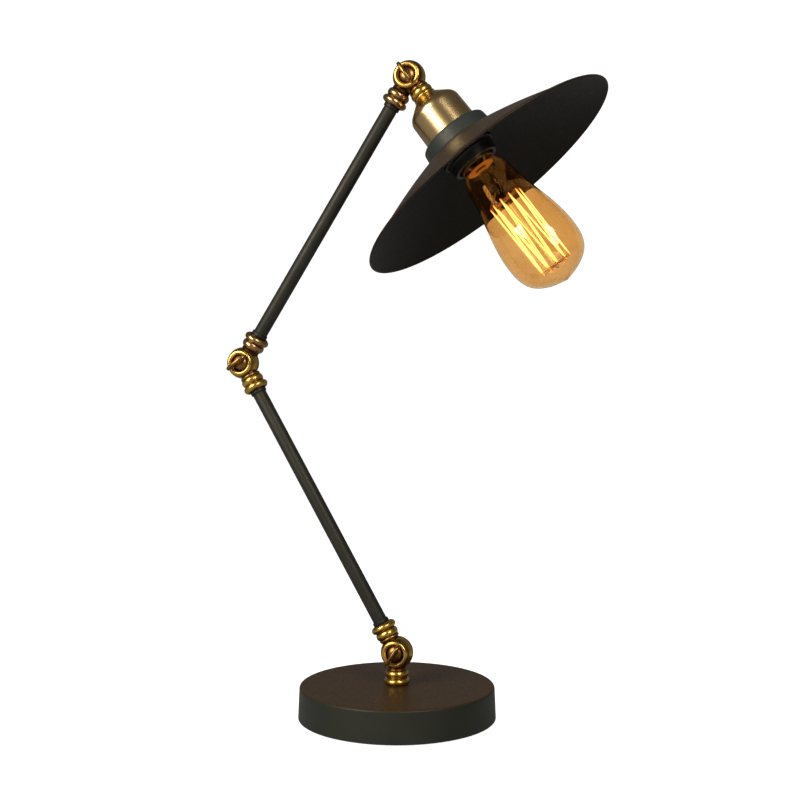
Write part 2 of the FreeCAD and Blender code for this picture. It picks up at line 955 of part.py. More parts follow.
def lead_wires():
    """Two wires from the press to the ends of the filament."""
    wires = []
    foot_radius = stem_press_radius + hook_radius + hook_end_gap
    across = foot_radius * math.sin(math.radians(lead_wire_angle))
    out = foot_radius * math.cos(math.radians(lead_wire_angle))
    for step, side in ((0, 1), (cage_strands, -1)):
        end = cage_point(step, cage_top_height - 2 * filament_radius - hook_end_gap)
        foot = Vector(out, side * across, stem_press_end + hook_radius)
        wires.append(rod_between(foot, end, hook_radius))
    return Part.makeCompound(wires)


# Assembly -----------------------------------------------------------------------------------

base_joint = Vector(0, 0, base_joint_height)
elbow_joint = along(base_joint, lower_arm_lean, arm_length)
head_joint = along(elbow_joint, upper_arm_lean, arm_length)
down = 180
lower_arm_down = lower_arm_lean + down
upper_arm_down = upper_arm_lean + down
upper_lock_height = collar_length + lock_ring_height + tube_length


def on_base_joint(shape, lean=0):
    return place(shape, base_joint, lean)


def on_elbow_joint(shape, lean=0):
    return place(shape, elbow_joint, lean)


def on_head_joint(shape, lean=0):
    return place(shape, head_joint, lean)


def bulb_part(shape):
    """Put a bulb part, built from its cap's rim, at its place in the head."""
    placed = shape.copy()
    placed.translate(Vector(0, 0, cap_rim))
    return on_head_joint(placed, head_lean)


nodes = {
    "base_cover": base_cover(),
    "base_weight": base_weight(),
    "base_pad": base_pad(),
    "cord_grommet": cord_grommet(),
    "base_nipple": base_nipple(),
    "base_washer": base_washer(),
    "base_nut": base_nut(),
    "base_swivel_rear": on_base_joint(swivel_half(REAR, rear_beads(), collar_length), down),
    "base_friction_ring": on_base_joint(friction_ring()),
    "base_wing_screw": on_base_joint(wing_screw(base_wing_turn)),
    "base_swivel_front": on_base_joint(swivel_half(FRONT, front_beads(), collar_length), lower_arm_lean),
    "base_spring_washer": on_base_joint(spring_washer()),
    "lower_tube": on_base_joint(arm_tube(), lower_arm_lean),
    "lower_tube_foot_ring": on_base_joint(lock_ring(collar_length), lower_arm_lean),
    "lower_tube_head_ring": on_base_joint(lock_ring(upper_lock_height), lower_arm_lean),
    "elbow_swivel_front": on_elbow_joint(swivel_half(FRONT, front_beads(), collar_length), lower_arm_down),
    "elbow_spring_washer": on_elbow_joint(spring_washer()),
    "elbow_swivel_rear": on_elbow_joint(swivel_half(REAR, rear_beads(), collar_length), upper_arm_lean),
    "elbow_friction_ring": on_elbow_joint(friction_ring()),
    "elbow_wing_screw": on_elbow_joint(wing_screw(elbow_wing_turn)),
    "upper_tube": on_elbow_joint(arm_tube(), upper_arm_lean),
    "upper_tube_foot_ring": on_elbow_joint(lock_ring(collar_length), upper_arm_lean),
    "upper_tube_head_ring": on_elbow_joint(lock_ring(upper_lock_height), upper_arm_lean),
    "head_swivel_rear": on_head_joint(swivel_half(REAR, rear_beads(), collar_length), upper_arm_down),
    "head_friction_ring": on_head_joint(friction_ring()),
    "head_wing_screw": on_head_joint(wing_screw(head_wing_turn)),
    "head_swivel_front": on_head_joint(swivel_half(FRONT, head_beads(), head_collar_length), head_lean),
    "head_spring_washer": on_head_joint(spring_washer()),
    "head_nipple": on_head_joint(head_nipple(), head_lean),
    "head_nut": on_head_joint(head_nut(), head_lean),
    "socket_cup": on_head_joint(socket_cup(), head_lean),
    "holder_cap": on_head_joint(holder_cap(), head_lean),
    "holder_core": on_head_joint(holder_core(), head_lean),
    "holder_terminals": on_head_joint(holder_terminals(), head_lean),
    "holder_skirt": on_head_joint(holder_skirt(), head_lean),
    "holder_screw_shell": on_head_joint(screw_shell(), head_lean),
    "holder_centre_contact": on_head_joint(centre_contact(), head_lean),
    "shade_ring": on_head_joint(shade_ring(), head_lean),
    "shade": on_head_joint(shade(), head_lean),
    "shade_lock_nut": on_head_joint(shade_lock_nut(), head_lean),
    "bulb_cap": bulb_part(bulb_cap()),
    "bulb_insulator": bulb_part(bulb_insulator()),
    "bulb_contact": bulb_part(bulb_contact()),
    "bulb_glass": bulb_part(bulb_glass()),
    "bulb_stem": bulb_part(bulb_stem()),
    "bulb_lead_wires": bulb_part(lead_wires()),
    "filament_upper_hooks": bulb_part(cage_hooks(0, cage_top_height)),
    "filament_lower_hooks": bulb_part(cage_hooks(1, cage_foot_height)),
    "filament": bulb_part(filament()),
}

os.makedirs("parts", exist_ok=True)
for name, shape in nodes.items():
    shape.exportStep("parts/" + name + ".step")
    print(name, "valid", shape.isValid(), "solids", len(shape.Solids), "volume", round(shape.Volume, 1))
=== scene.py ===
import json
import math

import bmesh
import bpy
import numpy as np
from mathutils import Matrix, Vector


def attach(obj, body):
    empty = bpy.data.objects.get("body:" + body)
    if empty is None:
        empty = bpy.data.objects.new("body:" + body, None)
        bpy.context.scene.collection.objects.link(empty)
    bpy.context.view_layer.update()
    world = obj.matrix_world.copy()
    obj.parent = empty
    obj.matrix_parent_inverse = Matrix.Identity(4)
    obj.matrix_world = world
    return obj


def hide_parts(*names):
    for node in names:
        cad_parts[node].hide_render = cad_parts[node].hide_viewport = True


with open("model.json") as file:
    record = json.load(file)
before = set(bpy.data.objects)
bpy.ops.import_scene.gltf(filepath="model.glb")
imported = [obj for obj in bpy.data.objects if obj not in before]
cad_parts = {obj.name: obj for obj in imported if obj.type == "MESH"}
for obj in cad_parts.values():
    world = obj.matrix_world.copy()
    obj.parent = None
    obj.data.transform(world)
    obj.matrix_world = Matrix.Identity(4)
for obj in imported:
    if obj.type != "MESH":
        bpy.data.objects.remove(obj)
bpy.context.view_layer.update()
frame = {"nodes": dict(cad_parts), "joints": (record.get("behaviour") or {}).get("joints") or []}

# Two-arm desk lamp on ball swivels. Metres, in the frame's axes: +Z up, the arms swing in the XZ
# plane, the hinge axes run along Y and the wing screws stand on the front, towards -Y.
MM = 0.001

# Where the three joints are, and how the arms lean, from the frame; the head's lean is given
joint_places = {joint["name"]: np.array(joint["pos_m"]) for joint in frame["joints"]}
BASE_JOINT = joint_places["base_swivel"]
ELBOW_JOINT = joint_places["elbow_swivel"]
HEAD_JOINT = joint_places["head_swivel"]


def lean_between(start, end):
    """Angle of a run from straight up, towards +X: atan2 of its X and Z steps."""
    return math.atan2(end[0] - start[0], end[2] - start[2])


LOWER_LEAN = lean_between(BASE_JOINT, ELBOW_JOINT)
UPPER_LEAN = lean_between(ELBOW_JOINT, HEAD_JOINT)
HEAD_LEAN = math.radians(142.5)
UPSIDE_DOWN = math.pi
WING_TURNS = {"base": 238.0, "elbow": 216.0, "head": 125.0}

# Ball swivels
ball_radius = 12.5 * MM
split_half = 0.4 * MM
split_edge_radius = math.sqrt(ball_radius ** 2 - split_half ** 2)
split_edge = 0.15 * MM
split_tarnish_reach = 1.2 * MM
back_flat_radius = 4.6 * MM
ring_radius = 10.3 * MM
ring_height = 9.6 * MM
ring_groove = 0.7 * MM
ring_lip_drop = 0.9 * MM
recess_radius = 6.5 * MM
recess_floor = 4.4 * MM
recess_fillet = 0.6 * MM
neck_core_radius = 7.0 * MM
neck_groove_radius = 7.7 * MM
neck_step = 0.6 * MM
collar_length = 24.5 * MM
head_collar_length = 21.0 * MM
neck_root = 8.0 * MM
neck_start_beside_partner = 10.95 * MM
# Beads of a neck: height, radius and half width
small_bead = (12.3 * MM, 8.1 * MM, 0.95 * MM)
middle_bead = (16.0 * MM, 8.9 * MM, 2.7 * MM)
large_bead = (21.6 * MM, 9.9 * MM, 2.7 * MM)
head_bead = (19.8 * MM, 9.0 * MM, 1.0 * MM)

# Wing screws
boss_seat = 5.3 * MM
boss_radius = 6.1 * MM
boss_shoulder = 2.0 * MM
boss_dome = 2.0 * MM
boss_edge = 0.3 * MM
wing_width = 19.0 * MM
wing_reach = 19.2 * MM
wing_thickness = 3.3 * MM
wing_stem_width = 8.4 * MM
wing_foot = 10.5 * MM
wing_root = 7.3 * MM
wing_crown = 1.3 * MM

# Arms
arm_length = float(np.linalg.norm(ELBOW_JOINT - BASE_JOINT))
lock_ring_radius = 6.4 * MM
lock_ring_height = 3.0 * MM
lock_ring_edge = 0.6 * MM
lock_ring_bore = 5.05 * MM
tube_radius = 5.5 * MM
tube_bore = 4.0 * MM
tube_edge = 0.3 * MM
tube_length = 200.0 * MM

# Head, heights along its own axis from the ball's centre
cup_top = head_collar_length
cup_length = 35.0 * MM
cup_foot_radius = 21.5 * MM
cup_wall = 0.85 * MM
ring_top = cup_top + cup_length
shade_top = ring_top + 11.0 * MM
holder_mouth = shade_top + 18.5 * MM
holder_bore = 15.4 * MM
sleeve_radius = 19.7 * MM
sleeve_clear_radius = 19.85 * MM
shade_seat_radius = 28.5 * MM
shade_rim_radius = 110.0 * MM
shade_height = 35.0 * MM
shade_wall = 0.8 * MM
shade_bow = 1.6 * MM
rim_bead = 1.1 * MM
lock_nut_radius = 21.8 * MM
lock_nut_flutes = 36
flute_depth = 0.35 * MM
cap_rim = cup_top + 66.0 * MM


# Surfaces --------------------------------------------------------------------------------------

def circle_through(first, second, third):
    """Centre and radius of the circle through three points of a plane: the centre solves
    |p - c|^2 = r^2 for all three."""
    first, second, third = (np.array(point, float) for point in (first, second, third))
    lines = 2 * np.array([second - first, third - first])
    squares = [second @ second - first @ first, third @ third - first @ first]
    centre = np.linalg.solve(lines, squares)
    return centre, float(np.linalg.norm(first - centre))


def arc(start, middle, end, count):
    """Points on the circle through three points, from start to end, at even angles."""
    centre, radius = circle_through(start, middle, end)
    angles = [math.atan2(*(np.array(point) - centre)[::-1]) for point in (start, middle, end)]
    while angles[1] < angles[0]:
        angles[1] += 2 * math.pi
    while angles[2] < angles[0]:
        angles[2] += 2 * math.pi
    turn = angles[2] - angles[0]
    if angles[1] >= angles[2]:
        turn -= 2 * math.pi
    sweep = angles[0] + np.linspace(0, 1, count) * turn
    return centre + radius * np.stack([np.cos(sweep), np.sin(sweep)], axis=1)


def line(start, end, count=2):
    """Evenly spaced points from start to end."""
    share = np.linspace(0, 1, count)[:, None]
    return np.array(start) * (1 - share) + np.array(end) * share


def chain(*stretches):
    """One outline from stretches, without the points that repeat where two stretches meet."""
    outline = np.concatenate([np.atleast_2d(stretch) for stretch in stretches])
    steps = np.linalg.norm(np.diff(outline, axis=0), axis=1)
    return outline[np.concatenate([[True], steps > 1e-7])]


def turned(outline, around=96):
    """Grid of a surface of revolution: (r cos a, r sin a, h) for each outline point (r, h)."""
    angle = np.linspace(0, 2 * math.pi, around, endpoint=False)
    radius, height = outline[:, 0, None], outline[:, 1, None]
    return np.stack([radius * np.cos(angle), radius * np.sin(angle), height + 0 * angle], axis=2)


def carried(path, radius, around=8):
    """Grid of a round bar along a path: each point of the path carries a circle of the radius.

    The circle lies across the path's direction, in a frame that is kept from twisting by projecting
    the same side vector at every point."""
    step = np.gradient(path, axis=0)
    step /= np.linalg.norm(step, axis=1, keepdims=True)
    side = np.cross(step, np.array([0.13, 0.97, 0.21]))
    side /= np.linalg.norm(side, axis=1, keepdims=True)
    other = np.cross(step, side)
    angle = np.linspace(0, 2 * math.pi, around, endpoint=False)[None, :, None]
    radius = np.broadcast_to(radius, len(path))[:, None, None]
    return path[:, None] + radius * (np.cos(angle) * side[:, None] + np.sin(angle) * other[:, None])


def on_hinge(grid, front=True):
    """Turn a grid whose axis is +Z so that it points to the front, (x, y, z) to (x, -z, y), or to
    the rear, (x, z, -y)."""
    x, y, z = np.moveaxis(grid, -1, 0)
    return np.stack([x, -z, y] if front else [x, z, -y], axis=-1)


def stand(grid, joint, lean):
    """Lean a grid's +Z towards +X about Y and move its origin to a joint's centre."""
    x, y, z = np.moveaxis(grid, -1, 0)
    leaned = [x * math.cos(lean) + z * math.sin(lean), y, z * math.cos(lean) - x * math.sin(lean)]
    return np.stack(leaned, axis=-1) + joint


class Shell:
    """Grids of points joined into one closed mesh, with a UV map and a hollow mask."""

    def __init__(self):
        self.points = []
        self.faces = []
        self.uvs = []
        self.hollows = []
        self.count = 0

    def add(self, grid, loop=False, hollow=None):
        """Add a grid whose columns run round. Loop joins the last row to the first as well;
        without it each end is closed by a fan to its middle point."""
        rows, columns, _ = grid.shape
        hollow = np.zeros(rows) if hollow is None else np.asarray(hollow, float)
        index = self.count + np.arange(rows * columns).reshape(rows, columns)
        run = np.arange(rows) if loop else np.arange(rows - 1)
        after = (run + 1) % rows
        right = (np.arange(columns) + 1) % columns
        low, high = index[run], index[after]
        faces = [np.stack([low, low[:, right], high[:, right], high], axis=-1).reshape(-1, 4)]
        points = [grid.reshape(-1, 3)]
        hollows = [np.repeat(hollow, columns)]
        steps = np.linalg.norm(np.diff(grid[:, 0], axis=0), axis=1)
        along = np.concatenate([[0], np.cumsum(steps)])
        around = np.arange(columns) / columns
        uvs = [np.stack(np.broadcast_arrays(around[None], along[:, None]), axis=-1).reshape(-1, 2)]
        total = rows * columns
        if not loop:
            for row, flip in ((0, False), (rows - 1, True)):
                middle = self.count + total
                ring = index[row]
                near, far = (ring[right], ring) if not flip else (ring, ring[right])
                fan = [near, far, np.full(columns, middle), np.full(columns, -1)]
                faces.append(np.stack(fan, axis=-1))
                points.append(grid[row].mean(axis=0)[None])
                hollows.append(hollow[row:row + 1])
                uvs.append(np.array([[0.5, along[row]]]))
                total += 1
        self.faces.append(np.concatenate(faces))
        self.points.append(np.concatenate(points))
        self.hollows.append(np.concatenate(hollows))
        self.uvs.append(np.concatenate(uvs))
        self.count += total
        return self

    def finish(self, name, body, slot, nodes=(), crease=40.0, material=None):
        """Make the object, with faces outwards, smooth apart from creases, riding on its body. Its
        material is the one of its slot, unless another is named."""
        points = np.concatenate(self.points)
        faces = np.concatenate(self.faces)
        hollows = np.concatenate(self.hollows)
        uvs = np.concatenate(self.uvs)
        mesh = bpy.data.meshes.new(name)
        corners = [[corner for corner in face if corner >= 0] for face in faces.tolist()]
        mesh.from_pydata(points.tolist(), [], corners)
        layer = mesh.uv_layers.new(name="UVMap")
        layer.data.foreach_set("uv", corner_uvs(faces, uvs).astype(np.float32).ravel())
        mask = mesh.attributes.new("hollow", "FLOAT", "POINT")
        mask.data.foreach_set("value", hollows.astype(np.float32))
        tidy(mesh)
        mesh.shade_smooth()
        mesh.set_sharp_from_angle(angle=math.radians(crease))
        mesh.materials.append(MATERIALS[material or slot])
        piece = bpy.data.objects.new(name, mesh)
        bpy.context.scene.collection.objects.link(piece)
        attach(piece, body)
        if nodes:
            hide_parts(*nodes)
        return piece


def corner_uvs(faces, uvs):
    """UV of every face corner. A face that crosses the seam has its corners at u = 0 moved to 1."""
    face, _ = np.nonzero(faces >= 0)
    corner = uvs[faces[faces >= 0]].copy()
    widest = np.zeros(len(faces))
    np.maximum.at(widest, face, corner[:, 0])
    corner[:, 0] += (corner[:, 0] < 0.25) & (widest[face] > 0.75)
    return corner


def tidy(mesh):
    """Merge points that coincide, drop empty faces and point every closed shell outwards."""
    work = bmesh.new()
    work.from_mesh(mesh)
    bmesh.ops.remove_doubles(work, verts=work.verts, dist=1e-7)
    bmesh.ops.dissolve_degenerate(work, edges=work.edges, dist=1e-8)
    bmesh.ops.recalc_face_normals(work, faces=work.faces)
    work.to_mesh(mesh)
    work.free()


# Finishes --------------------------------------------------------------------------------------

def feed(tree, socket, given):
    """Link a socket to an output, or set it to a number or to a colour of three parts."""
    if isinstance(given, bpy.types.NodeSocket):
        tree.links.new(given, socket)
    else:
        socket.default_value = (*given, 1.0) if isinstance(given, tuple) else given


def add_node(tree, kind, inputs):
    """New node with its inputs, by name or by place, fed."""
    node = tree.nodes.new(kind)
    for socket, given in inputs.items():
        feed(tree, node.inputs[socket], given)
    return node


def new_group(name, inputs, outputs):
    """An empty shader node group with named float, colour or vector sockets."""
    group = bpy.data.node_groups.new(name, "ShaderNodeTree")
    kinds = {"float": "NodeSocketFloat", "color": "NodeSocketColor", "vector": "NodeSocketVector"}
    for side, sockets in (("INPUT", inputs), ("OUTPUT", outputs)):
        for socket, kind in sockets.items():
            group.interface.new_socket(socket, in_out=side, socket_type=kinds[kind])
    given, result = group.nodes.new("NodeGroupInput"), group.nodes.new("NodeGroupOutput")
    return group, given.outputs, result.inputs


def noise(tree, vector, scale, detail=3.0, roughness=0.55):
    """Noise on a vector; the scale may be a number or a socket."""
    inputs = {"Vector": vector, "Scale": scale, "Detail": detail, "Roughness": roughness}
    return add_node(tree, "ShaderNodeTexNoise", inputs).outputs["Fac"]


def math_node(tree, operation, first, second, clamp=False):
    """Sum, difference or product of two numbers or sockets."""
    node = add_node(tree, "ShaderNodeMath", {0: first, 1: second})
    node.operation = operation
    node.use_clamp = clamp
    return node.outputs[0]


def mixed(tree, factor, first, second):
    """Colour between two colours, by a factor."""
    node = tree.nodes.new("ShaderNodeMix")
    node.data_type = "RGBA"
    given = {"Factor_Float": factor, "A_Color": first, "B_Color": second}
    for socket in node.inputs:
        if socket.identifier in given:
            feed(tree, socket, given[socket.identifier])
    return next(socket for socket in node.outputs if socket.identifier == "Result_Color")


def spread(tree, value, low, high, to_low=0.0, to_high=1.0):
    """Map a value from one range to another, held at the ends."""
    ends = {"From Min": low, "From Max": high, "To Min": to_low, "To Max": to_high}
    return add_node(tree, "ShaderNodeMapRange", {"Value": value, **ends}).outputs["Result"]


# Scales of the noises, in features per metre
tarnish_cloud_scale = 95.0
tarnish_speck_scale = 1400.0
paint_grain_scale = 2600.0
paint_mottle_scale = 38.0
top_reflection_noise_scale = 26.0
metal_cloud_scale = 140.0
glass_wave_scale = 45.0


def patina_group():
    """Tarnish on brass: it gathers in the hollows and lies thinly elsewhere, in soft clouds."""
    group, given, result = new_group(
        "Patina", {"Vector": "vector", "Bright": "color", "Dark": "color", "Hollow": "float",
                   "Cloud": "float"}, {"Color": "color", "Tarnish": "float"})
    clouds = noise(group, given["Vector"], tarnish_cloud_scale, 4.0, 0.6)
    clouds = math_node(group, "MULTIPLY", spread(group, clouds, 0.42, 0.72), given["Cloud"])
    specks = noise(group, given["Vector"], tarnish_speck_scale, 2.0)
    specks = spread(group, specks, 0.62, 0.75, 0.0, 0.05)
    deep = math_node(group, "MULTIPLY", given["Hollow"], 0.9)
    tarnish = math_node(group, "ADD", math_node(group, "ADD", clouds, specks), deep, clamp=True)
    feed(group, result["Color"], mixed(group, tarnish, given["Bright"], given["Dark"]))
    feed(group, result["Tarnish"], tarnish)
    return group


def paint_group():
    """Powder coat: a fine orange peel, a finer grain, and a slow mottle of the tone."""
    group, given, result = new_group(
        "Powder coat", {"Vector": "vector", "Tone": "color", "Light": "color", "Peel": "float"},
        {"Color": "color", "Roughness": "float", "Height": "float"})
    peel = noise(group, given["Vector"], given["Peel"], 2.0)
    grain = noise(group, given["Vector"], paint_grain_scale, 1.0)
    mottle = spread(group, noise(group, given["Vector"], paint_mottle_scale, 4.0), 0.35, 0.7)
    speck = spread(group, grain, 0.66, 0.8, 0.0, 0.5)
    lighter = math_node(group, "ADD", math_node(group, "MULTIPLY", mottle, 0.5), speck, clamp=True)
    feed(group, result["Color"], mixed(group, lighter, given["Tone"], given["Light"]))
    feed(group, result["Roughness"], spread(group, peel, 0.3, 0.7, 0.40, 0.54))
    height = math_node(group, "ADD", peel, math_node(group, "MULTIPLY", grain, 0.35))
    feed(group, result["Height"], height)
    return group


def turning_group():
    """Marks of a lathe or a brush: noise on the distance along the profile alone, so that each
    mark runs round the piece."""
    group, given, result = new_group(
        "Turning marks", {"Along": "float", "Fineness": "float"}, {"Height": "float"})
    scaled = math_node(group, "MULTIPLY", given["Along"], given["Fineness"])
    along = add_node(group, "ShaderNodeCombineXYZ", {"X": scaled}).outputs["Vector"]
    feed(group, result["Height"], noise(group, along, 1.0, 3.0, 0.7))
    return group


def top_reflection_group():
    """Painted warm reflection on faces that look up: the normal's upward part times a soft noise.
    """
    group, given, result = new_group(
        "Painted top reflection", {"Vector": "vector", "Normal": "vector", "Start": "float"},
        {"Mask": "float"})
    parts = add_node(group, "ShaderNodeSeparateXYZ", {"Vector": given["Normal"]}).outputs
    up = math_node(group, "SUBTRACT", parts["Z"], given["Start"])
    up = math_node(group, "MULTIPLY", up, 6.0, clamp=True)
    soft = noise(group, given["Vector"], top_reflection_noise_scale, 5.0)
    soft = spread(group, soft, 0.25, 0.75, 0.75, 1.0)
    feed(group, result["Mask"], math_node(group, "MULTIPLY", up, soft))
    return group


PATINA = patina_group()
PAINT = paint_group()
TURNING = turning_group()
TOP_REFLECTION = top_reflection_group()


class Finish:
    """A material under construction: its Principled shader, its coordinates and its groups."""

    def __init__(self, name, metallic=0.0, roughness=0.5):
        self.material = bpy.data.materials.new(name)
        self.material.use_nodes = True
        self.tree = self.material.node_tree
        self.shader = self.tree.nodes["Principled BSDF"]
        self.put("Metallic", metallic).put("Roughness", roughness)
        coordinates = self.tree.nodes.new("ShaderNodeTexCoord")
        self.place = coordinates.outputs["Object"]
        self.normal = coordinates.outputs["Normal"]

    def put(self, socket, given):
        """Link or set one input of the shader."""
        feed(self.tree, self.shader.inputs[socket], given)
        return self

    def group(self, group, **inputs):
        """Place a node group with its inputs fed, and return its outputs."""
        node = self.tree.nodes.new("ShaderNodeGroup")
        node.node_tree = group
        for socket, given in inputs.items():
            feed(self.tree, node.inputs[socket], given)
        return node.outputs

    def hollow(self):
        """Mask of the piece's hollows, from its own attribute."""
        node = self.tree.nodes.new("ShaderNodeAttribute")
        node.attribute_name = "hollow"
        return node.outputs["Fac"]

    def along(self):
        """Distance along the profile, from the piece's own UV map."""
        node = self.tree.nodes.new("ShaderNodeUVMap")
        node.uv_map = "UVMap"
        parts = add_node(self.tree, "ShaderNodeSeparateXYZ", {"Vector": node.outputs["UV"]})
        return parts.outputs["Y"]

    def bump(self, height, distance, strength):
        """Fine relief from a height, which ends the material."""
        inputs = {"Distance": distance, "Strength": strength, "Height": height}
        self.put("Normal", add_node(self.tree, "ShaderNodeBump", inputs).outputs["Normal"])
        return self.material


def brass_finish(name, bright, dark, cloud, smooth, dull, marks=9000.0):
    """Antique brass: bright where it is rubbed, brown in the hollows, with faint lathe marks."""
    finish = Finish(name, metallic=1.0)
    patina = finish.group(PATINA, Vector=finish.place, Bright=bright, Dark=dark,
                          Hollow=finish.hollow(), Cloud=cloud)
    turning = finish.group(TURNING, Along=finish.along(), Fineness=marks)
    finish.put("Base Color", patina["Color"])
    finish.put("Roughness", spread(finish.tree, patina["Tarnish"], 0.0, 1.0, smooth, dull))
    return finish.bump(turning["Height"], 0.004 * MM, 0.1)


def paint_finish(name, tone, light, peel=620.0, sheen=0.3, top_reflection=None, inside=None):
    """Satin powder coat, with a warm sheen. A painted warm reflection may lie on faces that look
    up, and the inside may take a darker tone as painted shade."""
    finish = Finish(name).put("Specular IOR Level", sheen)
    finish.put("Specular Tint", (1.0, 0.86, 0.68))
    coat = finish.group(PAINT, Vector=finish.place, Tone=tone, Light=light, Peel=peel)
    shown = coat["Color"]
    # Painted shade: the inner skin, by the hollow mask, takes a darker tone than the outside.
    if inside:
        shown = mixed(finish.tree, finish.hollow(), shown, inside)
    if top_reflection:
        # Painted reflection: a warm tone on faces that look up, standing in for light reflected off
        # the top.
        mask = finish.group(TOP_REFLECTION, Vector=finish.place, Normal=finish.normal, Start=0.6)["Mask"]
        shown = mixed(finish.tree, mask, shown, top_reflection)
    finish.put("Base Color", shown).put("Roughness", coat["Roughness"])
    return finish.bump(coat["Height"], 0.02 * MM, 0.6)


def plain_metal(name, tone, other, roughness):
    """Drawn or plated metal: two close tones in clouds, with a brushed roughness."""
    finish = Finish(name, metallic=1.0)
    cloud = spread(finish.tree, noise(finish.tree, finish.place, metal_cloud_scale, 4.0), 0.35, 0.7)
    brushed = noise(finish.tree, finish.place, 1250.0, 2.0)
    brushed = spread(finish.tree, brushed, 0.3, 0.7, roughness * 0.8, roughness * 1.25)
    finish.put("Base Color", mixed(finish.tree, cloud, tone, other)).put("Roughness", brushed)
    return finish.material


def moulded(name, tone, light, roughness, grain=900.0):
    """Moulded plastic, rubber or fibre: a fine grain in the tone, the roughness and the surface."""
    finish = Finish(name)
    grains = noise(finish.tree, finish.place, grain, 3.0)
    dulled = spread(finish.tree, grains, 0.3, 0.7, roughness * 0.85, roughness * 1.15)
    shown = mixed(finish.tree, spread(finish.tree, grains, 0.45, 0.75), tone, light)
    finish.put("Base Color", shown).put("Roughness", dulled)
    return finish.bump(grains, 0.02 * MM, 0.5)


def glass_finish(name, tone, other):
    """Clear blown glass: its tone varies slightly, and a bump gives it faint waves."""
    finish = Finish(name, roughness=0.0).put("Transmission Weight", 1.0).put("IOR", 1.45)
    waves = noise(finish.tree, finish.place, glass_wave_scale, 2.0)
    finish.put("Base Color", mixed(finish.tree, spread(finish.tree, waves, 0.3, 0.7), tone, other))
    return finish.bump(waves, 0.12 * MM, 0.35)


def glow_finish(name, cool, hot, strength):
    """Glowing wire: hot in the middle of each strand, redder towards its ends, by the mask."""
    finish = Finish(name).put("Base Color", (0.35, 0.14, 0.04))
    finish.put("Emission Color", mixed(finish.tree, finish.hollow(), hot, cool))
    return finish.put("Emission Strength", strength).material


# Brasses: bright, dark, cloud, and the roughness where bright and where dark. Other finishes: two
# tones, then the roughness or what the finish alone needs
MATERIALS = {
    "antique_brass": brass_finish(
        "antique brass", (0.74, 0.46, 0.10), (0.11, 0.042, 0.008), 0.4, 0.25, 0.4),
    "bronze_brass": brass_finish(
        "bronzed brass", (0.52, 0.32, 0.13), (0.07, 0.03, 0.012), 0.45, 0.25, 0.4),
    "screw_brass": brass_finish(
        "screw brass", (0.34, 0.185, 0.055), (0.09, 0.036, 0.012), 0.7, 0.28, 0.45),
    "cup_brass": brass_finish(
        "brushed cup brass", (0.66, 0.46, 0.22), (0.31, 0.165, 0.05), 0.3, 0.25, 0.36, 14000.0),
    "contact_brass": plain_metal("contact brass", (0.72, 0.48, 0.17), (0.55, 0.33, 0.11), 0.3),
    "zinc_steel": plain_metal("zinc plated steel", (0.52, 0.52, 0.5), (0.4, 0.4, 0.38), 0.35),
    "wire": plain_metal("support wire", (0.5, 0.33, 0.2), (0.35, 0.2, 0.11), 0.35),
    # The base's third colour is a painted warm reflection on its top.
    "base_black": paint_finish(
        "base paint", (0.014, 0.017, 0.013), (0.022, 0.025, 0.019), top_reflection=(0.044, 0.022, 0.006)),
    "tube_black": paint_finish("tube paint", (0.014, 0.015, 0.011), (0.026, 0.026, 0.02)),
    "ring_black": paint_finish("lock ring paint", (0.008, 0.01, 0.008), (0.018, 0.02, 0.017)),
    # The shade's inside colour is painted shade, far darker than its outside.
    "shade_black": paint_finish(
        "shade paint", (0.032, 0.023, 0.015), (0.046, 0.034, 0.022), sheen=0.2,
        inside=(0.005, 0.003, 0.001)),
    "shade_ring_black": paint_finish(
        "shade ring plastic", (0.022, 0.028, 0.026), (0.034, 0.04, 0.037), 380.0),
    "cast_iron": moulded("raw cast iron", (0.05, 0.05, 0.05), (0.09, 0.085, 0.08), 0.75, 500.0),
    "pad": moulded("foam pad", (0.012, 0.012, 0.012), (0.03, 0.03, 0.03), 0.9, 1800.0),
    "grommet": moulded("rubber grommet", (0.012, 0.012, 0.012), (0.02, 0.02, 0.02), 0.6),
    "fibre": moulded("fibre ring", (0.05, 0.04, 0.03), (0.08, 0.06, 0.045), 0.8),
    # Painted reflection: this orange stands for the filament's glow seen at the bulb's neck.
    "neck_glow_disc": moulded("painted neck glow", (0.85, 0.42, 0.06), (0.95, 0.55, 0.12), 0.5),
    "holder_black": moulded("moulded holder", (0.004, 0.004, 0.0035), (0.007, 0.006, 0.005), 0.4),
    "amber_glass": glass_finish("amber glass", (0.80, 0.56, 0.28), (0.75, 0.51, 0.24)),
    "clear_glass": glass_finish("clear glass", (0.96, 0.93, 0.86), (0.96, 0.93, 0.86)),
    "filament_glow": glow_finish("glowing filament", (1.0, 0.34, 0.05), (1.0, 0.72, 0.32), 4.8),
}


# Ball swivels ----------------------------------------------------------------------------------

def on_ball(radius):
    """Point of the ball's outline at a radius from the hinge axis: h = sqrt(R^2 - r^2)."""
    return (radius, math.sqrt(ball_radius ** 2 - radius ** 2))


def ball_stretch(start_radius, end_radius, count=28):
    """Outline of the ball between two radii from the hinge axis, at even angles."""
    start, end = math.asin(start_radius / ball_radius), math.asin(end_radius / ball_radius)
    angles = np.linspace(start, end, count)
    return ball_radius * np.stack([np.sin(angles), np.cos(angles)], axis=1)


def split_face():
    """Outline of the flat face between the two halves, from the hinge axis to the ball's edge."""
    far = (split_edge_radius - split_edge, split_half)
    return np.concatenate([[(0.0, split_half)], line((1 * MM, split_half), far, 6)])


def split_tarnish(height):
    """Mask that fades with the height above the face between the halves."""
    return np.clip(1 - (height - split_half) / split_tarnish_reach, 0, 1)


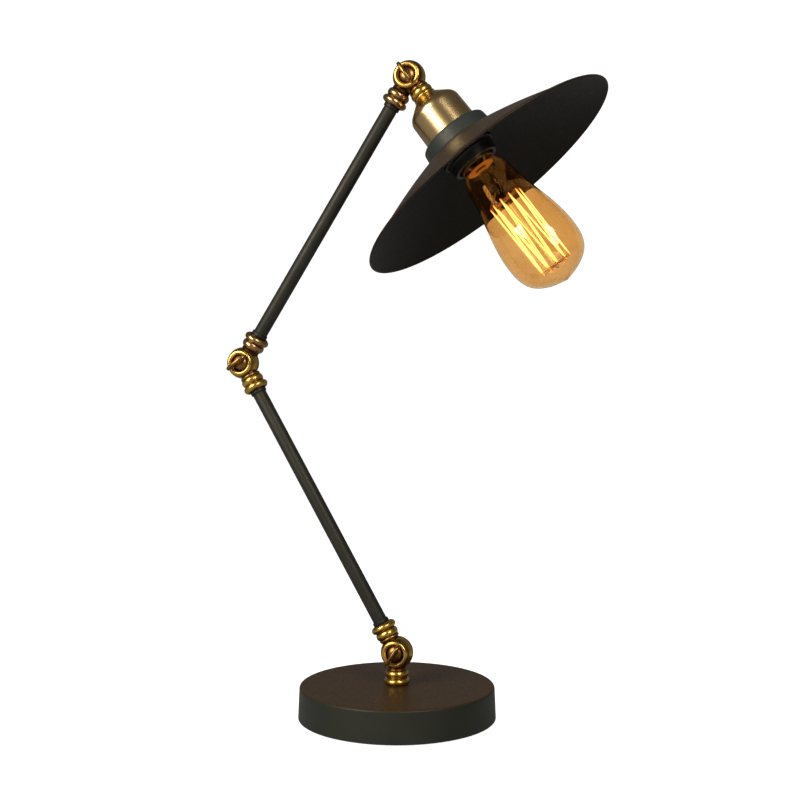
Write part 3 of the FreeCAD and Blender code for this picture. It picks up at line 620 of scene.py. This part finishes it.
def front_dome():
    """Outline of the front half: ball, groove, rounded ring and the recess of the wing screw."""
    groove = on_ball(ring_radius + ring_groove)
    foot = (ring_radius, on_ball(ring_radius)[1] - ring_groove / 2)
    lip = (recess_radius, ring_height - ring_lip_drop)
    crest = ((ring_radius + recess_radius) / 2, ring_height)
    wall_foot = (recess_radius, recess_floor + recess_fillet)
    outline = chain(
        split_face(),
        ball_stretch(split_edge_radius, groove[0]),
        line(groove, foot, 4),
        arc(foot, crest, lip, 22),
        line(lip, wall_foot, 6),
        arc(wall_foot, (recess_radius - recess_fillet / 3, recess_floor + recess_fillet / 3),
            (recess_radius - recess_fillet, recess_floor), 6),
        [(0.0, recess_floor)],
    )
    radius, height = outline[:, 0], outline[:, 1]
    from_groove = (radius - ring_radius - ring_groove / 2) / (0.5 * MM)
    near_groove = np.exp(-from_groove ** 2) * (height > 4 * MM)
    in_recess = (radius < recess_radius + 0.1 * MM) & (height < lip[1])
    return outline, np.clip(near_groove + in_recess + 0.8 * split_tarnish(height), 0, 1)


def rear_dome():
    """Outline of the rear half: the ball with a small flat on its back."""
    outline = chain(
        split_face(),
        ball_stretch(split_edge_radius, back_flat_radius, 40),
        [(0.0, on_ball(back_flat_radius)[1])],
    )
    return outline, 0.8 * split_tarnish(outline[:, 1])


def bead_stretch(bead):
    """A rounded bead on the neck: an arc that leaves the core, crests and comes back to it."""
    height, radius, half_width = bead
    foot = neck_groove_radius
    return arc((foot, height - half_width), (radius, height), (foot, height + half_width), 21)


def neck_grid(beads, length, front):
    """Grid of a neck. Its first row lies inside its own half ball on one side and, on the side
    where the other half turns, just outside that half: h0 = own root or clear start, by angle."""
    start = neck_start_beside_partner
    root_end = max(beads[0][0] - beads[0][2] - neck_step, start)
    outline = chain(
        line((neck_core_radius, start), (neck_core_radius, root_end)),
        *[bead_stretch(bead) for bead in beads],
        line((neck_groove_radius, beads[-1][0] + beads[-1][2]), (neck_groove_radius, length)),
    )
    grid = turned(outline, 96)
    first = grid[:1].copy()
    own_side = first[0, :, 1] < -split_half if front else first[0, :, 1] > split_half
    first[0, :, 2] = np.where(own_side, neck_root, start - 0.05 * MM)
    proud = (outline[:, 0] - neck_groove_radius) / (0.9 * MM)
    hollow = np.clip(1 - proud, 0, 1)
    return np.concatenate([first, grid]), np.concatenate([[1.0], hollow])


def swivel_half(name, joint, lean, body, beads, length=collar_length, finish="antique_brass"):
    """One half of a ball swivel: its dome on the hinge axis and its neck along the arm."""
    front = name.endswith("front")
    outline, hollow = front_dome() if front else rear_dome()
    dome = turned(outline, 120)
    shell = Shell().add(stand(on_hinge(dome, front), joint, lean), hollow=hollow)
    grid, neck_hollow = neck_grid(beads, length, front)
    shell.add(stand(grid, joint, lean), hollow=neck_hollow)
    return shell.finish(name + "_brass", body, "antique_brass", [name], 50, finish)


REAR_BEADS = [middle_bead, large_bead]
FRONT_BEADS = [small_bead, middle_bead, large_bead]
HEAD_BEADS = [small_bead, middle_bead, head_bead]
swivel_half("base_swivel_rear", BASE_JOINT, UPSIDE_DOWN, "base", REAR_BEADS)
swivel_half("base_swivel_front", BASE_JOINT, LOWER_LEAN, "lower_arm", FRONT_BEADS)
swivel_half("elbow_swivel_front", ELBOW_JOINT, LOWER_LEAN + math.pi, "lower_arm", FRONT_BEADS)
swivel_half("elbow_swivel_rear", ELBOW_JOINT, UPPER_LEAN, "upper_arm", REAR_BEADS,
            finish="bronze_brass")
swivel_half("head_swivel_rear", HEAD_JOINT, UPPER_LEAN + math.pi, "upper_arm", REAR_BEADS,
            finish="bronze_brass")
swivel_half("head_swivel_front", HEAD_JOINT, HEAD_LEAN, "head", HEAD_BEADS, head_collar_length)


# Wing screws -----------------------------------------------------------------------------------

def wing_blade():
    """Grid of the finger grip: across its width each section is a superellipse.

    At x the section reaches from the lug circle's lower branch, or the root inside the stem, to the
    crown or the circle's upper branch, and |y/t|^3 + |v/h|^3 = 1 round it, with the thickness t
    falling to nothing at the tips as (1 - |x/w|^10)^(1/2)."""
    stem, lug = wing_stem_width / 2, wing_width / 2
    shoulder = (lug - 2.6 * MM, wing_reach - wing_crown)
    lug_middle = (lug, (wing_foot + wing_reach) / 2)
    centre, radius = circle_through((stem, wing_foot), lug_middle, shoulder)
    crown, crown_radius = circle_through((-shoulder[0], shoulder[1]), (0, wing_reach), shoulder)
    tip = centre[0] + radius
    x = tip * np.sin(np.linspace(-math.pi / 2, math.pi / 2, 57))
    inside = np.sqrt(np.clip(radius ** 2 - (np.abs(x) - centre[0]) ** 2, 0, None))
    low = np.where(np.abs(x) < stem, wing_root, centre[1] - inside)
    arched = crown[1] + np.sqrt(np.clip(crown_radius ** 2 - x ** 2, 0, None))
    high = np.where(np.abs(x) < shoulder[0], arched, centre[1] + inside)
    thick = wing_thickness / 2 * np.sqrt(np.clip(1 - np.abs(x / tip) ** 10, 0, None))
    angle = np.linspace(0, 2 * math.pi, 40, endpoint=False)
    across = np.sign(np.cos(angle)) * np.abs(np.cos(angle)) ** (2 / 3)
    tall = np.sign(np.sin(angle)) * np.abs(np.sin(angle)) ** (2 / 3)
    half, middle = (high - low)[:, None] / 2, (high + low)[:, None] / 2
    parts = [x[:, None] + 0 * across, thick[:, None] * across, middle + half * tall]
    return np.stack(parts, axis=2)


def wing_screw(place, joint):
    """Wing screw: a domed boss in the recess and the blade across it, turned about the hinge."""
    top = boss_seat + boss_shoulder
    outline = chain(
        [(0.0, boss_seat)],
        [(boss_radius - boss_edge, boss_seat), (boss_radius, boss_seat + boss_edge)],
        line((boss_radius, boss_seat + boss_edge), (boss_radius, top)),
        arc((boss_radius, top), (4.5 * MM, top + 1.25 * MM), (0.0, top + boss_dome), 16),
    )
    hollow = np.clip(1.2 - (outline[:, 1] - boss_seat) / (3.2 * MM), 0, 1)
    shell = Shell().add(stand(on_hinge(turned(outline, 64)), joint, 0.0), hollow=hollow)
    angle = math.radians(WING_TURNS[place])
    x, y, z = np.moveaxis(wing_blade(), -1, 0)
    turned_x = x * math.cos(angle) - y * math.sin(angle)
    turned_y = x * math.sin(angle) + y * math.cos(angle)
    shell.add(stand(on_hinge(np.stack([turned_x, turned_y, z], axis=-1)), joint, 0.0))
    name = place + "_wing_screw"
    return shell.finish(name + "_brass", place + "_wing", "screw_brass", [name], 45)


for place, joint in (("base", BASE_JOINT), ("elbow", ELBOW_JOINT), ("head", HEAD_JOINT)):
    wing_screw(place, joint)


# Base and arms ---------------------------------------------------------------------------------

def rounded(corners, radii, count=6):
    """Closed outline whose corners are rounded: at each corner an arc tangent to both sides.

    With the corner's half angle a, the arc starts r / tan(a) along each side, and its middle lies
    on the bisector at r / sin(a) - r from the corner."""
    corners = np.array(corners, float)
    stretches = []
    for index, (corner, radius) in enumerate(zip(corners, radii)):
        before = corners[index - 1] - corner
        after = corners[(index + 1) % len(corners)] - corner
        before /= np.linalg.norm(before)
        after /= np.linalg.norm(after)
        if radius <= 0:
            stretches.append(corner[None])
            continue
        half = math.acos(float(np.clip(before @ after, -1, 1))) / 2
        reach = radius / math.tan(half)
        bisector = (before + after) / np.linalg.norm(before + after)
        middle = corner + bisector * (radius / math.sin(half) - radius)
        stretches.append(arc(corner + before * reach, middle, corner + after * reach, count))
    return chain(*stretches)


def arm_piece(name, corners, radii, joint, lean, body, finish, around):
    """A painted, turned piece of an arm, whose section is closed and has rounded corners."""
    grid = turned(rounded(corners, radii), around)
    shell = Shell().add(stand(grid, joint, lean), loop=True)
    return shell.finish(name + "_paint", body, finish, [name])


def lock_ring(name, joint, lean, bottom, body):
    """Black ring between a tube and its swivel, with both edges rounded."""
    top = bottom + lock_ring_height
    corners = [(lock_ring_bore, bottom), (lock_ring_radius, bottom),
               (lock_ring_radius, top), (lock_ring_bore, top)]
    radii = [0, lock_ring_edge, lock_ring_edge, 0]
    return arm_piece(name, corners, radii, joint, lean, body, "ring_black", 64)


def arm_tube(name, joint, lean, body):
    """Visible length of an arm tube between its lock rings, with the paint rounded at its ends."""
    bottom = collar_length + lock_ring_height
    top = bottom + tube_length
    corners = [(tube_bore, bottom), (tube_radius, bottom), (tube_radius, top), (tube_bore, top)]
    radii = [0, tube_edge, tube_edge, 0]
    return arm_piece(name, corners, radii, joint, lean, body, "tube_black", 96)


lock_top = arm_length - collar_length - lock_ring_height
for arm, joint, lean in (("lower", BASE_JOINT, LOWER_LEAN), ("upper", ELBOW_JOINT, UPPER_LEAN)):
    arm_tube(arm + "_tube", joint, lean, arm + "_arm")
    lock_ring(arm + "_tube_foot_ring", joint, lean, collar_length, arm + "_arm")
    lock_ring(arm + "_tube_head_ring", joint, lean, lock_top, arm + "_arm")


# Head ------------------------------------------------------------------------------------------

def head_piece(name, slot, parts, node=None, crease=40, material=None):
    """A piece on the head's axis, from grids of closed section, each with its hollow mask."""
    shell = Shell()
    for grid, hollow in parts:
        shell.add(stand(grid, HEAD_JOINT, HEAD_LEAN), loop=True, hollow=hollow)
    return shell.finish(name, "head", slot, [node] if node else (), crease, material)


def above(height, *points):
    """Outline points given in millimetres: radius, and rise above a height on the axis."""
    return [(radius * MM, height + rise * MM) for radius, rise in points]


def skin_mask(outer, inner):
    """Hollow mask of a thin wall: 0 on its outer skin and 1 on its inner skin."""
    return np.concatenate([np.zeros(len(outer)), np.ones(len(inner))])


def offset_outline(outline, distance):
    """Outline moved sideways along its own normals, (dh, -dr) / |d|, by a distance."""
    step = np.gradient(outline, axis=0)
    step /= np.linalg.norm(step, axis=1, keepdims=True)
    return outline + distance * np.stack([-step[:, 1], step[:, 0]], axis=1)


def socket_cup():
    """Spun brass cup: flat top, sloping shoulder, a soft bend and a long, slightly flared side."""
    edge = above(cup_top, (8.2, 0), (8.95, 0.12), (9.6, 0.65))
    slope_end, shoulder, bend, side = above(
        cup_top, (17.2, 7.06), (17.6, 7.4), (19.8, 9.75), (21.0, 13.0))
    outer = chain(
        line((lock_ring_bore, cup_top), edge[0], 3),
        arc(*edge, 6),
        line(edge[2], slope_end, 8),
        arc(shoulder, bend, side, 18),
        line(side, (cup_foot_radius, ring_top - 0.05 * MM), 12),
    )
    inner = offset_outline(outer, cup_wall)[::-1]
    parts = [(turned(np.concatenate([outer, inner]), 144), skin_mask(outer, inner))]
    return head_piece("socket_cup_brass", "cup_brass", parts, "socket_cup")


def shade_ring():
    """Moulded ring over the shade: rounded shoulder, tapered side and a small step at its foot."""
    corners = [(sleeve_clear_radius, ring_top), (27.0 * MM, ring_top),
               (28.3 * MM, shade_top - 1.0 * MM), (shade_seat_radius, shade_top),
               (sleeve_clear_radius, shade_top)]
    outline = rounded(corners, [0.3 * MM, 2.2 * MM, 0.2 * MM, 0.25 * MM, 0])
    parts = [(turned(outline, 144), None)]
    return head_piece("shade_ring_moulded", "shade_ring_black", parts, "shade_ring")


def shade():
    """Spun shade: flat seat, bowed cone, inner skin one wall below it and a rolled rim.

    The cone is an arc whose middle bows out from the straight run by the bow."""
    foot = np.array([shade_rim_radius - rim_bead, shade_top + shade_height - rim_bead])
    start = np.array([shade_seat_radius, shade_top])
    run = (foot - start) / np.linalg.norm(foot - start)
    across = np.array([run[1], -run[0]])
    middle = (start + foot) / 2 + across * shade_bow
    seat = 19.9 * MM
    outer = chain(line((seat, shade_top), start, 5), arc(start, middle, foot, 48))
    wall = across * shade_wall
    bowed = arc(foot - wall, middle - wall, start - wall, 48)
    inner = chain(bowed, line(bowed[-1], (seat, shade_top + shade_wall), 5))
    turn = np.linspace(0, 2 * math.pi, 16, endpoint=False)
    roll = foot + rim_bead * np.stack([np.cos(turn), np.sin(turn)], axis=1)
    # The rim roll's mask of 0.5 paints it half way into the inside's painted shade.
    parts = [(turned(np.concatenate([outer, inner]), 256), skin_mask(outer, inner)),
             (turned(roll, 256), 0.5 * np.ones(16))]
    return head_piece("shade_sheet", "shade_black", parts, "shade", 50)


def thread_stretch(radius, start, end, pitch, depth):
    """Outline of a fine round thread, as rings: r = R - depth (1 - cos(2 pi h / pitch)) / 2."""
    height = np.linspace(start, end, int((end - start) / pitch * 6) + 1)
    wave = (1 - np.cos(2 * math.pi * (height - start) / pitch)) / 2
    return np.stack([radius - depth * wave, height], axis=1)


def holder_skirt():
    """Lampholder skirt: threaded outside below the lock nut, then the tapered mouth."""
    seat = cup_top + 29.5 * MM
    taper = holder_mouth - 7.5 * MM
    lip = above(holder_mouth, (18.4, -0.5), (18.2, -0.1), (17.8, 0))
    outline = chain(
        [(holder_bore, seat), (sleeve_radius, seat)],
        thread_stretch(sleeve_radius, shade_top, taper, 1.8 * MM, 0.45 * MM),
        [(sleeve_radius, taper + 0.3 * MM)],
        line((19.4 * MM, taper + 0.8 * MM), lip[0], 4),
        arc(*lip, 5),
        arc(*above(holder_mouth, (16.0, 0), (15.55, -0.15), (15.4, -0.6)), 5),
    )
    parts = [(turned(outline, 144), None)]
    return head_piece("holder_skirt_moulded", "holder_black", parts, "holder_skirt", 30)


def lock_nut():
    """Ring that clamps the shade: knurled round its side with shallow flutes."""
    bottom, top = shade_top + 0.8 * MM, shade_top + 9.3 * MM
    corners = [(sleeve_clear_radius, bottom), (lock_nut_radius, bottom),
               (lock_nut_radius, top), (sleeve_clear_radius, top)]
    outline = rounded(corners, [0, 0.2 * MM, 0.8 * MM, 0.3 * MM])
    around = 12 * lock_nut_flutes
    grid = turned(outline, around)
    angle = np.linspace(0, 2 * math.pi, around, endpoint=False)[None, :]
    outside = np.clip((outline[:, 0] - 21.0 * MM) / (0.8 * MM), 0, 1)[:, None]
    cut = (0.5 + 0.5 * np.cos(lock_nut_flutes * angle)) ** 3
    grid[..., :2] *= (1 - flute_depth / lock_nut_radius * outside * cut)[..., None]
    return head_piece("shade_lock_nut_moulded", "holder_black", [(grid, None)], "shade_lock_nut")


socket_cup()
shade_ring()
shade()
holder_skirt()
lock_nut()


# Bulb ------------------------------------------------------------------------------------------

glass_wall = 0.8 * MM
glass_root = (12.4 * MM, -5.9 * MM)
filament_cage_radius = 13.4 * MM
filament_top = 34.0 * MM
filament_foot = 96.0 * MM
filament_strands = 20
filament_gap = 30.0
filament_wire_radius = 0.19 * MM
filament_coil_radius = 0.36 * MM
filament_coil_pitch = 1.05 * MM
neck_disc_radius = 11.2 * MM
neck_disc_bore = 4.7 * MM


def smooth_curve(knots, count):
    """Cubic curve through knots, with the chord length as its parameter and free ends.

    The second derivatives m solve h0 m0 + 2 (h0 + h1) m1 + h1 m2 = 6 (d1 - d0) at each knot."""
    knots = np.array(knots, float)
    place = np.concatenate([[0], np.cumsum(np.linalg.norm(np.diff(knots, axis=0), axis=1))])
    step = np.diff(place)
    slope = np.diff(knots, axis=0) / step[:, None]
    size = len(knots)
    system = np.eye(size)
    right = np.zeros((size, 2))
    inner = np.arange(1, size - 1)
    system[inner, inner - 1], system[inner, inner + 1] = step[:-1], step[1:]
    system[inner, inner] = 2 * (step[:-1] + step[1:])
    right[inner] = 6 * (slope[1:] - slope[:-1])
    bend = np.linalg.solve(system, right)
    at = np.linspace(0, place[-1], count)
    span = np.clip(np.searchsorted(place, at, side="right") - 1, 0, size - 2)
    left, width = at - place[span], step[span]
    rest = width - left
    left, width, rest = left[:, None], width[:, None], rest[:, None]
    return ((bend[span] * rest ** 3 + bend[span + 1] * left ** 3) / (6 * width)
            + (knots[span] / width - bend[span] * width / 6) * rest
            + (knots[span + 1] / width - bend[span + 1] * width / 6) * left)


def glass_outline(inset):
    """Outline of the blown glass from the cap's rim to the tip. Its inner skin is set in: sideways
    along the body, and downwards at the nose."""
    knots = above(0.0, (12.4, 0.0), (16.2, 5.0), (20.6, 24.0), (26.4, 52.0), (29.6, 78.0),
                  (25.0, 97.5), (13.0, 106.2), (3.0, 109.4), (0.0, 110.4))
    inward = [(1, 0)] * 5 + [(1, 0.5), (0.5, 1), (0, 1), (0, 1)]
    return smooth_curve(np.array(knots) - inset * np.array(inward), 90)


def bulb_glass():
    """Glass envelope: outer skin to the tip, inner skin back, closed at the root in the cap."""
    outer = chain([glass_root], glass_outline(0.0))
    inner = chain(glass_outline(glass_wall)[::-1], [(glass_root[0] - glass_wall, glass_root[1])])
    outer[-1, 0] = inner[0, 0] = 0.0
    grid = turned(np.concatenate([outer, inner]) + np.array([0.0, cap_rim]), 160)
    return head_piece("bulb_glass_blown", "amber_glass", [(grid, None)], "bulb_glass", 60)


def cage_places():
    """Turning points of the filament: up and down by turns, spread round the axis with one gap."""
    step = np.arange(filament_strands + 1)
    turn = np.radians(filament_gap / 2 + step * (360.0 - filament_gap) / filament_strands)
    height = np.where(step % 2 == 0, filament_top, filament_foot)
    radius = filament_cage_radius
    return np.stack([radius * np.cos(turn), radius * np.sin(turn), height], axis=1)


def coiled(start, end, coil_radius, pitch, samples=9):
    """Helix from start to end: the axis point plus R (cos t, sin t) across it, with R tapering at
    the ends."""
    run = end - start
    length = np.linalg.norm(run)
    turns = int(length / pitch)
    share = np.linspace(0, 1, turns * samples + 1)
    ahead = run / length
    side = np.cross(ahead, np.array([0.0, 0.0, 1.0]))
    side /= np.linalg.norm(side)
    other = np.cross(ahead, side)
    angle = (2 * math.pi * turns * share)[:, None]
    size = (coil_radius * np.clip(np.minimum(share, 1 - share) * 25, 0.15, 1))[:, None]
    return start + run * share[:, None] + size * (np.cos(angle) * side + np.sin(angle) * other)


def filament():
    """Coiled filament strung over the hooks; the hollow mask is 1 at the cooler turning points."""
    places = cage_places() + np.array([0.0, 0.0, cap_rim])
    shell = Shell()
    for start, end in zip(places, places[1:]):
        path = coiled(start, end, filament_coil_radius, filament_coil_pitch)
        share = np.linspace(0, 1, len(path))
        cooler = np.clip(1 - np.minimum(share, 1 - share) * 9, 0, 1)
        grid = carried(path, filament_wire_radius, 4)
        shell.add(stand(grid, HEAD_JOINT, HEAD_LEAN), hollow=cooler)
    return shell.finish("filament_coil", "head", "filament_glow", ["filament"], 80)


def neck_glow_disc():
    """Disc round the stem, in the neck of the bulb, coloured bright orange as a painted reflection
    of the filament's glow there.
    """
    low, high = cap_rim + 3.5 * MM, cap_rim + 3.9 * MM
    corners = [(neck_disc_bore, low), (neck_disc_radius, low),
               (neck_disc_radius, high), (neck_disc_bore, high)]
    grid = turned(rounded(corners, [0, 0.1 * MM, 0.1 * MM, 0]), 144)
    return head_piece("bulb_neck_glow_disc", "fibre", [(grid, None)], material="neck_glow_disc")


bulb_glass()
filament()
neck_glow_disc()


# Carried-over solids ---------------------------------------------------------------------------

KEPT = {
    "contact_brass": ["holder_terminals", "holder_screw_shell", "holder_centre_contact", "bulb_cap",
                      "bulb_contact"],
    "zinc_steel": ["base_nipple", "base_washer", "base_nut", "head_nipple", "head_nut"],
    "cast_iron": ["base_weight"],
    "base_black": ["base_cover"],
    "pad": ["base_pad"],
    "grommet": ["cord_grommet"],
    "fibre": ["base_friction_ring", "elbow_friction_ring", "head_friction_ring"],
    "screw_brass": ["base_spring_washer", "elbow_spring_washer", "head_spring_washer"],
    "holder_black": ["holder_cap", "holder_core", "bulb_insulator"],
    "clear_glass": ["bulb_stem"],
    "wire": ["bulb_lead_wires", "filament_upper_hooks", "filament_lower_hooks"],
}
for material, names in KEPT.items():
    for name in names:
        mesh = frame["nodes"][name].data
        mesh.materials.clear()
        mesh.materials.append(MATERIALS[material])


# Studio ----------------------------------------------------------------------------------------

image_width = 800
camera_turn = math.radians(14.7)
camera_distance = 0.9
camera_height = 0.2539
camera_dip = math.radians(-0.72)
focal_pixels = 1178.7
sensor_width = 36.0
centre_left_of_middle = 3.0
panel_distance = 1.5
panel_aim_height = 0.25
panel_height_size = 0.9
warm_white = (1.0, 0.97, 0.92)


def studio_camera():
    """Camera at the photograph's angle, in front and a little towards +X, nearly level."""
    data = bpy.data.cameras.new("camera")
    data.sensor_fit = "HORIZONTAL"
    data.sensor_width = sensor_width
    data.lens = focal_pixels * sensor_width / image_width
    data.shift_x = centre_left_of_middle / image_width
    camera = bpy.data.objects.new("camera", data)
    right, back = math.sin(camera_turn), math.cos(camera_turn)
    camera.location = (camera_distance * right, -camera_distance * back, camera_height)
    level = math.cos(camera_dip)
    ahead = Vector((-right * level, back * level, math.sin(camera_dip)))
    camera.rotation_euler = ahead.to_track_quat("-Z", "Y").to_euler()
    bpy.context.scene.collection.objects.link(camera)
    bpy.context.scene.camera = camera


def light_panel(name, azimuth, height, width, power):
    """Soft light panel at an azimuth from the front, turned to face the lamp."""
    data = bpy.data.lights.new(name, "AREA")
    data.shape = "RECTANGLE"
    data.size = width
    data.size_y = panel_height_size
    data.energy = power
    data.color = warm_white
    panel = bpy.data.objects.new(name, data)
    angle = math.radians(azimuth)
    panel.location = (panel_distance * math.sin(angle), -panel_distance * math.cos(angle), height)
    toward = Vector((0, 0, panel_aim_height)) - panel.location
    panel.rotation_euler = toward.to_track_quat("-Z", "Y").to_euler()
    bpy.context.scene.collection.objects.link(panel)


def sweep_material():
    """Pale paper that looks brighter than the light it gives back. The lamp stands before a white
    ground, and its metals still reflect a dimmer room."""
    finish = Finish("pale sweep", roughness=0.9).put("Emission Color", (1.0, 1.0, 1.0))
    path = finish.tree.nodes.new("ShaderNodeLightPath").outputs
    seen = math_node(finish.tree, "ADD", path["Is Camera Ray"], path["Is Transmission Ray"], True)
    finish.put("Base Color", mixed(finish.tree, seen, (0.22, 0.22, 0.22), (0.9, 0.9, 0.89)))
    return finish.put("Emission Strength", spread(finish.tree, seen, 0.0, 1.0, 0.13, 0.85)).material


def backdrop():
    """Pale sweep: a floor that curves up behind the lamp in a quarter circle."""
    radius, near, depth, wide, tall = 0.9, 2.6, 2.2, 5.0, 3.0
    slant = math.sqrt(0.5) * radius
    sweep = arc((depth, 0.0), (depth + slant, radius - slant), (depth + radius, radius), 24)
    profile = chain([(-near, 0.0)], sweep, [(depth + radius, tall)])
    sides = np.array([-wide, wide])
    grid = np.stack(np.broadcast_arrays(sides, profile[:, :1], profile[:, 1:]), axis=2)
    rows = np.arange(len(profile) - 1)
    faces = np.stack([rows * 2, rows * 2 + 1, rows * 2 + 3, rows * 2 + 2], axis=1)
    mesh = bpy.data.meshes.new("backdrop")
    mesh.from_pydata(grid.reshape(-1, 3).tolist(), [], faces.tolist())
    mesh.shade_smooth()
    mesh.materials.append(sweep_material())
    floor = bpy.data.objects.new("backdrop", mesh)
    bpy.context.scene.collection.objects.link(floor)


def studio_world():
    """Pale surroundings that fill the shadows."""
    world = bpy.data.worlds.new("studio")
    world.use_nodes = True
    background = world.node_tree.nodes["Background"]
    feed(world.node_tree, background.inputs["Color"], warm_white)
    feed(world.node_tree, background.inputs["Strength"], 0.1)
    bpy.context.scene.world = world
    bpy.context.scene.view_settings.view_transform = "Standard"


studio_camera()
backdrop()
studio_world()
light_panel("left panel", azimuth=-34.0, height=0.85, width=0.8, power=26.0)
light_panel("right panel", azimuth=42.0, height=1.1, width=0.5, power=15.0)
